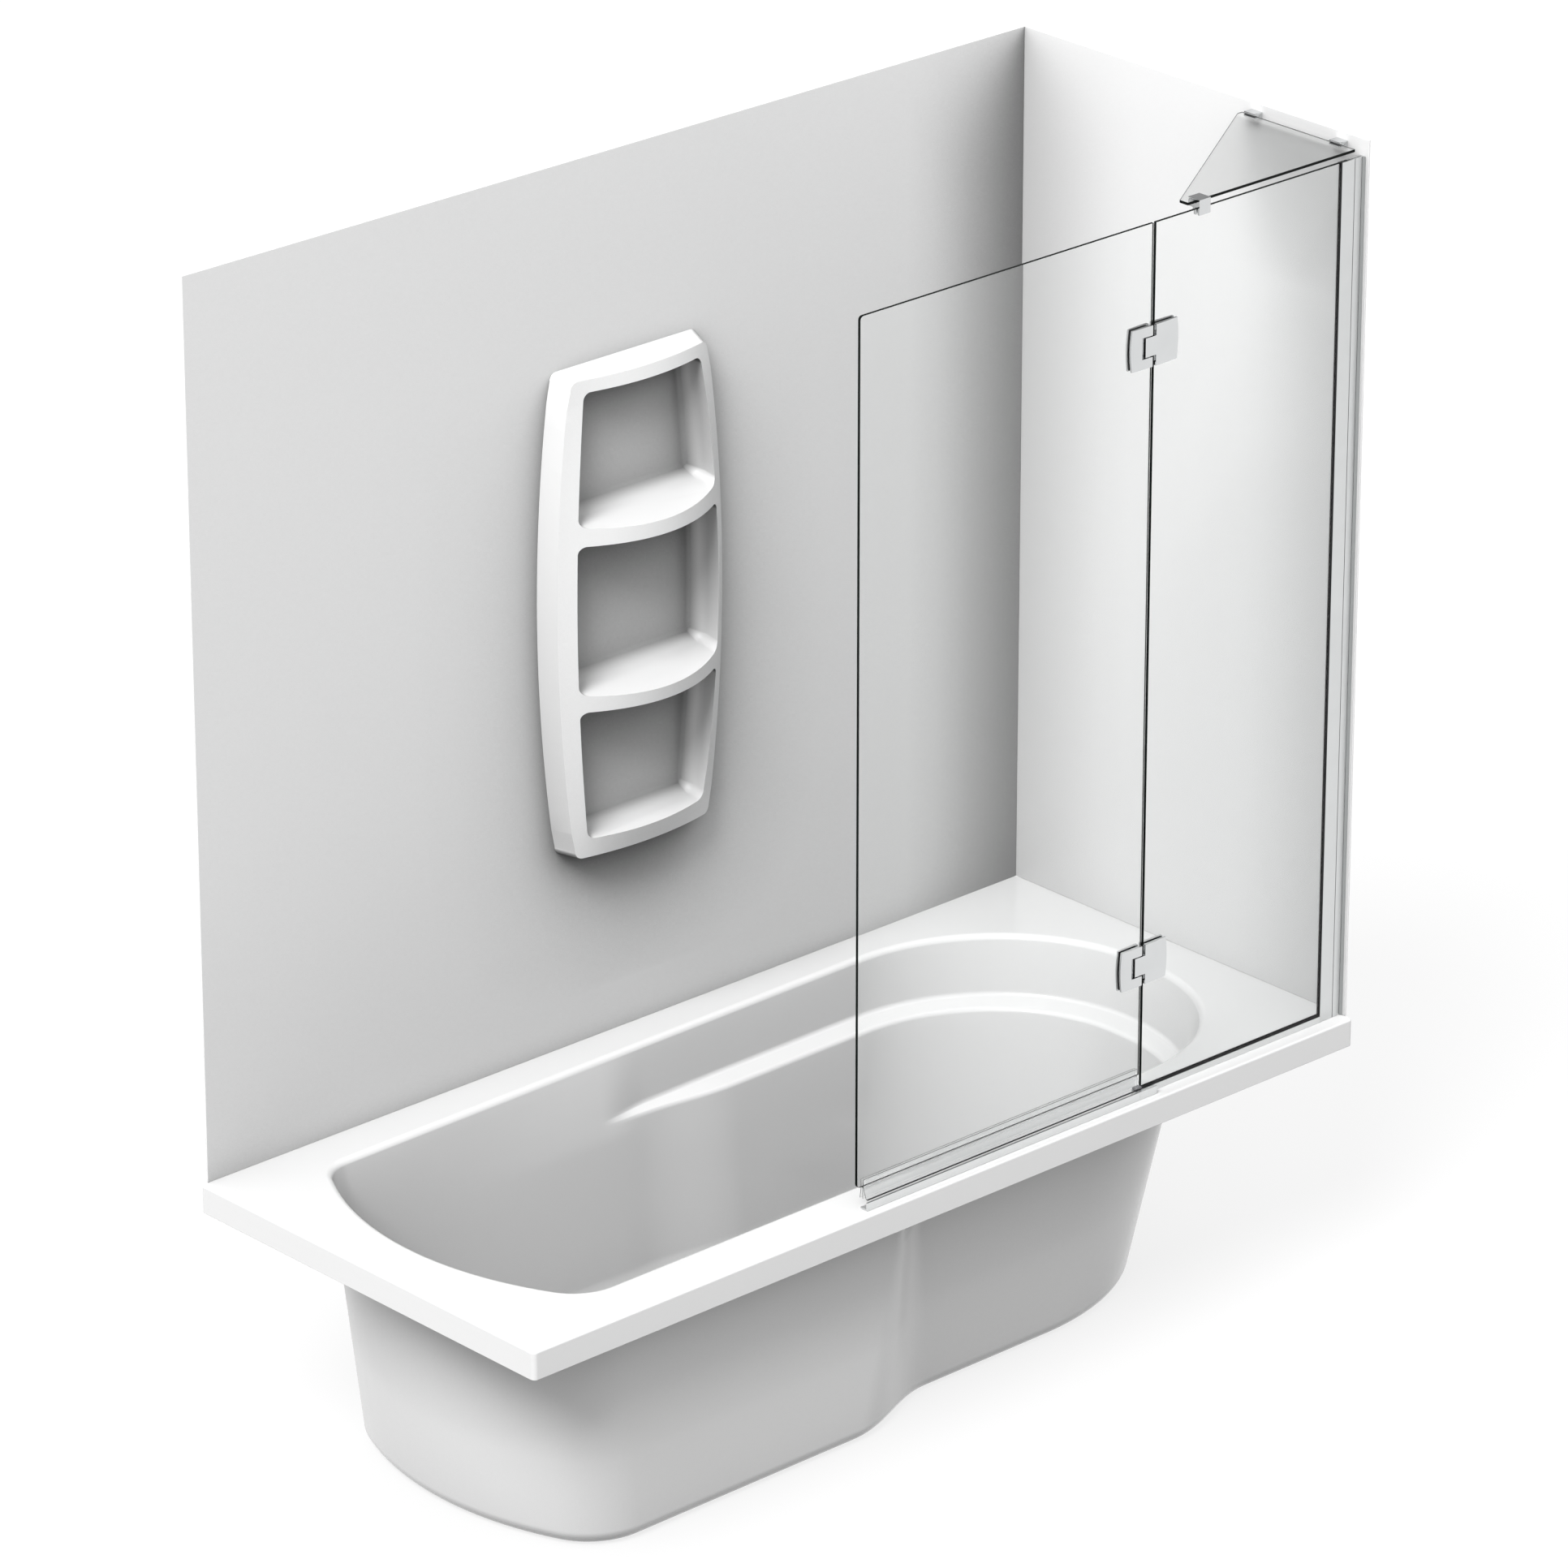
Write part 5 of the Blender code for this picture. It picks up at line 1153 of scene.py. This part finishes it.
def waste_fitting():
    """The flange and its tube, with a hub on two arms that guides the plug's stem."""
    fall = FLANGE_HIGH - FLANGE_LOW
    profile = [(FLANGE_RADIUS - fall * inwards / 2, FLANGE_LOW + fall * up) for inwards, up in FLANGE_NOSE]
    profile += [(TUBE_RADIUS, FLANGE_LOW), (TUBE_RADIUS, WASTE_FOOT), (TUBE_BORE, WASTE_FOOT)]
    profile += [(TUBE_BORE, FLANGE_HIGH - fall / 2), (TUBE_BORE + fall / 6, FLANGE_HIGH - fall / 6)]
    profile += [(TUBE_BORE + fall / 2, FLANGE_HIGH)]
    place = (WASTE_X, WASTE_Y, 0)
    fitting = lathed("waste_fitting", profile, place, TURNED_STEPS, CHROME)
    hub = lathed("hub", [(HUB_RADIUS, HUB_HIGH), (HUB_RADIUS, WASTE_FOOT), (HUB_BORE, WASTE_FOOT),
                         (HUB_BORE, HUB_HIGH)], place, TURNED_STEPS, None)
    shape = bmesh.new()
    shape.from_mesh(fitting.data)
    shape.from_mesh(hub.data)
    bpy.data.objects.remove(hub, do_unlink=True)
    for way in (-1, 1):
        inner = WASTE_X + way * (HUB_BORE + HUB_RADIUS) / 2
        outer = WASTE_X + way * (TUBE_BORE + TUBE_RADIUS) / 2
        corners = bmesh.ops.create_cube(shape, size=1)["verts"]
        reach = Matrix.Diagonal((abs(outer - inner), ARM_HALF * 2, HUB_HIGH - WASTE_FOOT - ARM_HALF / 4, 1))
        middle = Matrix.Translation(((inner + outer) / 2, WASTE_Y, (HUB_HIGH + WASTE_FOOT) / 2))
        bmesh.ops.transform(shape, matrix=middle @ reach, verts=corners)
    shape.to_mesh(fitting.data)
    shape.free()
    round_edges(fitting, ARM_EDGE, segments=2, angle=SHARP_EDGE_FROM)
    smooth(fitting)
    dress(fitting, "waste_body")


def plug():
    """The domed cap and its stem, down to the foot of the CAD's plug."""
    low, high = (corner[2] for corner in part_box("plug_cap"))
    crown = PLUG_RADIUS * PLUG_CROWN_SHARE
    profile = [(share * crown, high - PLUG_CROWN * share**2) for share in PLUG_CROWN_SHARES]
    profile += [(PLUG_RADIUS * share, high - down) for share, down in PLUG_NOSE]
    under = profile[-1][1]
    profile += [(PLUG_STEM, under), (PLUG_STEM, low + PLUG_STEM_EDGE), (PLUG_STEM - PLUG_STEM_EDGE, low)]
    profile.append((0, low))
    cap = lathed("plug_top", profile, (WASTE_X, WASTE_Y, 0), TURNED_STEPS, CHROME)
    smooth(cap)
    dress(cap, "plug_cap")


def walls():
    soften("back_wall_board", "back_wall_panel", WALL, BOARD_EDGE)
    soften("end_wall_board", "end_wall_panel", WALL, BOARD_EDGE)


def underside():
    soften("base_board_raw", "base_board", BOARD, BOARD_EDGE, segments=2)
    soften("waste_nut", "back_nut", GREY, NUT_EDGE)
    for node in ("back_washer", "flange_washer", "plug_seal"):
        recolour(node, BLACK)
    waste_fitting()
    plug()


for node in frame["nodes"]:
    recolour(node, CHROME)
bath_shell()
shelf_unit()
walls()
screen()
all_screws()
underside()


# Light, floor and camera


CAMERA_PLACE = Vector((-8.08616, -8.76169, 6.08495))
CAMERA_TURN = math.radians(-42.670)
CAMERA_FALL = math.radians(23.219)
LENS = 200
SENSOR = 36
AMBIENT = 0.80
OVERHEAD = (0.34, 0.34, 0.34, 1)
OVERHEAD_FROM = 0.05
OVERHEAD_TO = 0.38
BEFORE_BOUNCES = 0.5
KEY_POWER = 2.85
KEY_FROM = Vector(LAMPWARD)
KEY_SPREAD = math.radians(26)
FILL_POWER = 0.1
FILL_FROM = Vector((-0.30, -0.85, 0.40))
FILL_SPREAD = math.radians(40)
FLOOR_REACH = 7.0
FLOOR_SIDES = 96
FLOOR_TONE = (0.18, 0.18, 0.18, 1)
FLOOR_GLOW = 0.80
CAMERA_REACH = 100


def stage_rays(tree):
    """1 for what the camera sees, straight or by gloss or through glass, and 0 for light on a surface."""
    path = tree.nodes.new("ShaderNodeLightPath").outputs
    seen = joined(tree, "MAXIMUM", path["Is Camera Ray"], path["Is Glossy Ray"])
    seen = joined(tree, "MAXIMUM", seen, path["Is Transmission Ray"])
    return joined(tree, "MULTIPLY", seen, joined(tree, "LESS_THAN", path["Diffuse Depth"], BEFORE_BOUNCES))


def overhead_shade(tree):
    """White round the horizon and below, and greyer overhead where only gloss sees it."""
    place = tree.nodes.new("ShaderNodeTexCoord").outputs["Generated"]
    height = add(tree, "ShaderNodeSeparateXYZ", place)["Z"]
    up_share = mapped(tree, height, "SMOOTHSTEP", From_Min=OVERHEAD_FROM, From_Max=OVERHEAD_TO)
    glossy = tree.nodes.new("ShaderNodeLightPath").outputs["Is Glossy Ray"]
    return mixed(tree, joined(tree, "MULTIPLY", up_share, glossy), WHITE, OVERHEAD)


def studio_world():
    """A white surround as it is seen, and a softer one as light."""
    world = bpy.data.worlds.new("studio")
    bpy.context.scene.world = world
    world.use_nodes = True
    tree = world.node_tree
    seen = add(tree, "ShaderNodeBackground", Color=overhead_shade(tree), Strength=1)["Background"]
    light = add(tree, "ShaderNodeBackground", Color=WHITE, Strength=AMBIENT)["Background"]
    mix = add(tree, "ShaderNodeMixShader", stage_rays(tree), light, seen)["Shader"]
    tree.links.new(mix, tree.nodes["World Output"].inputs["Surface"])


def floor_finish():
    """Pale floor: it glows as it is seen, so that it is white wherever no shadow falls."""
    finish = bpy.data.materials.new("pale_floor")
    finish.use_nodes = True
    tree = finish.node_tree
    tree.nodes.remove(tree.nodes["Principled BSDF"])
    plain = add(tree, "ShaderNodeBsdfDiffuse", Color=FLOOR_TONE)["BSDF"]
    glow = add(tree, "ShaderNodeEmission", Strength=FLOOR_GLOW)["Emission"]
    seen = add(tree, "ShaderNodeAddShader", plain, glow)["Shader"]
    mix = add(tree, "ShaderNodeMixShader", stage_rays(tree), plain, seen)["Shader"]
    tree.links.new(mix, tree.nodes["Material Output"].inputs["Surface"])
    return finish


def soft_lamp(name, power, source, spread):
    """A sun that shines from a direction, as wide as its spread."""
    lamp = bpy.data.lights.new(name, "SUN")
    lamp.energy = power
    lamp.angle = spread
    holder = bpy.data.objects.new(name, lamp)
    holder.rotation_euler = source.to_track_quat("Z", "Y").to_euler()
    bpy.context.scene.collection.objects.link(holder)


def studio():
    studio_world()
    shape = bmesh.new()
    bmesh.ops.create_circle(shape, cap_ends=True, segments=FLOOR_SIDES, radius=FLOOR_REACH)
    floor = new_piece("floor", shape, floor_finish())
    soft_lamp("key", KEY_POWER, KEY_FROM, KEY_SPREAD)
    soft_lamp("fill", FILL_POWER, FILL_FROM, FILL_SPREAD)


def photo_camera():
    """The photo's viewpoint: a long lens that looks down over the foot of the bath."""
    lens = bpy.data.cameras.new("photo_camera")
    lens.lens = LENS
    lens.sensor_width = SENSOR
    lens.sensor_fit = "HORIZONTAL"
    lens.clip_end = CAMERA_REACH
    camera = bpy.data.objects.new("photo_camera", lens)
    level = math.cos(CAMERA_FALL)
    forward = Vector((-math.sin(CAMERA_TURN) * level, math.cos(CAMERA_TURN) * level, -math.sin(CAMERA_FALL)))
    camera.location = CAMERA_PLACE
    camera.rotation_euler = forward.to_track_quat("-Z", "Y").to_euler()
    bpy.context.scene.collection.objects.link(camera)
    bpy.context.scene.camera = camera


studio()
photo_camera()
bpy.context.scene.view_settings.view_transform = "Standard"
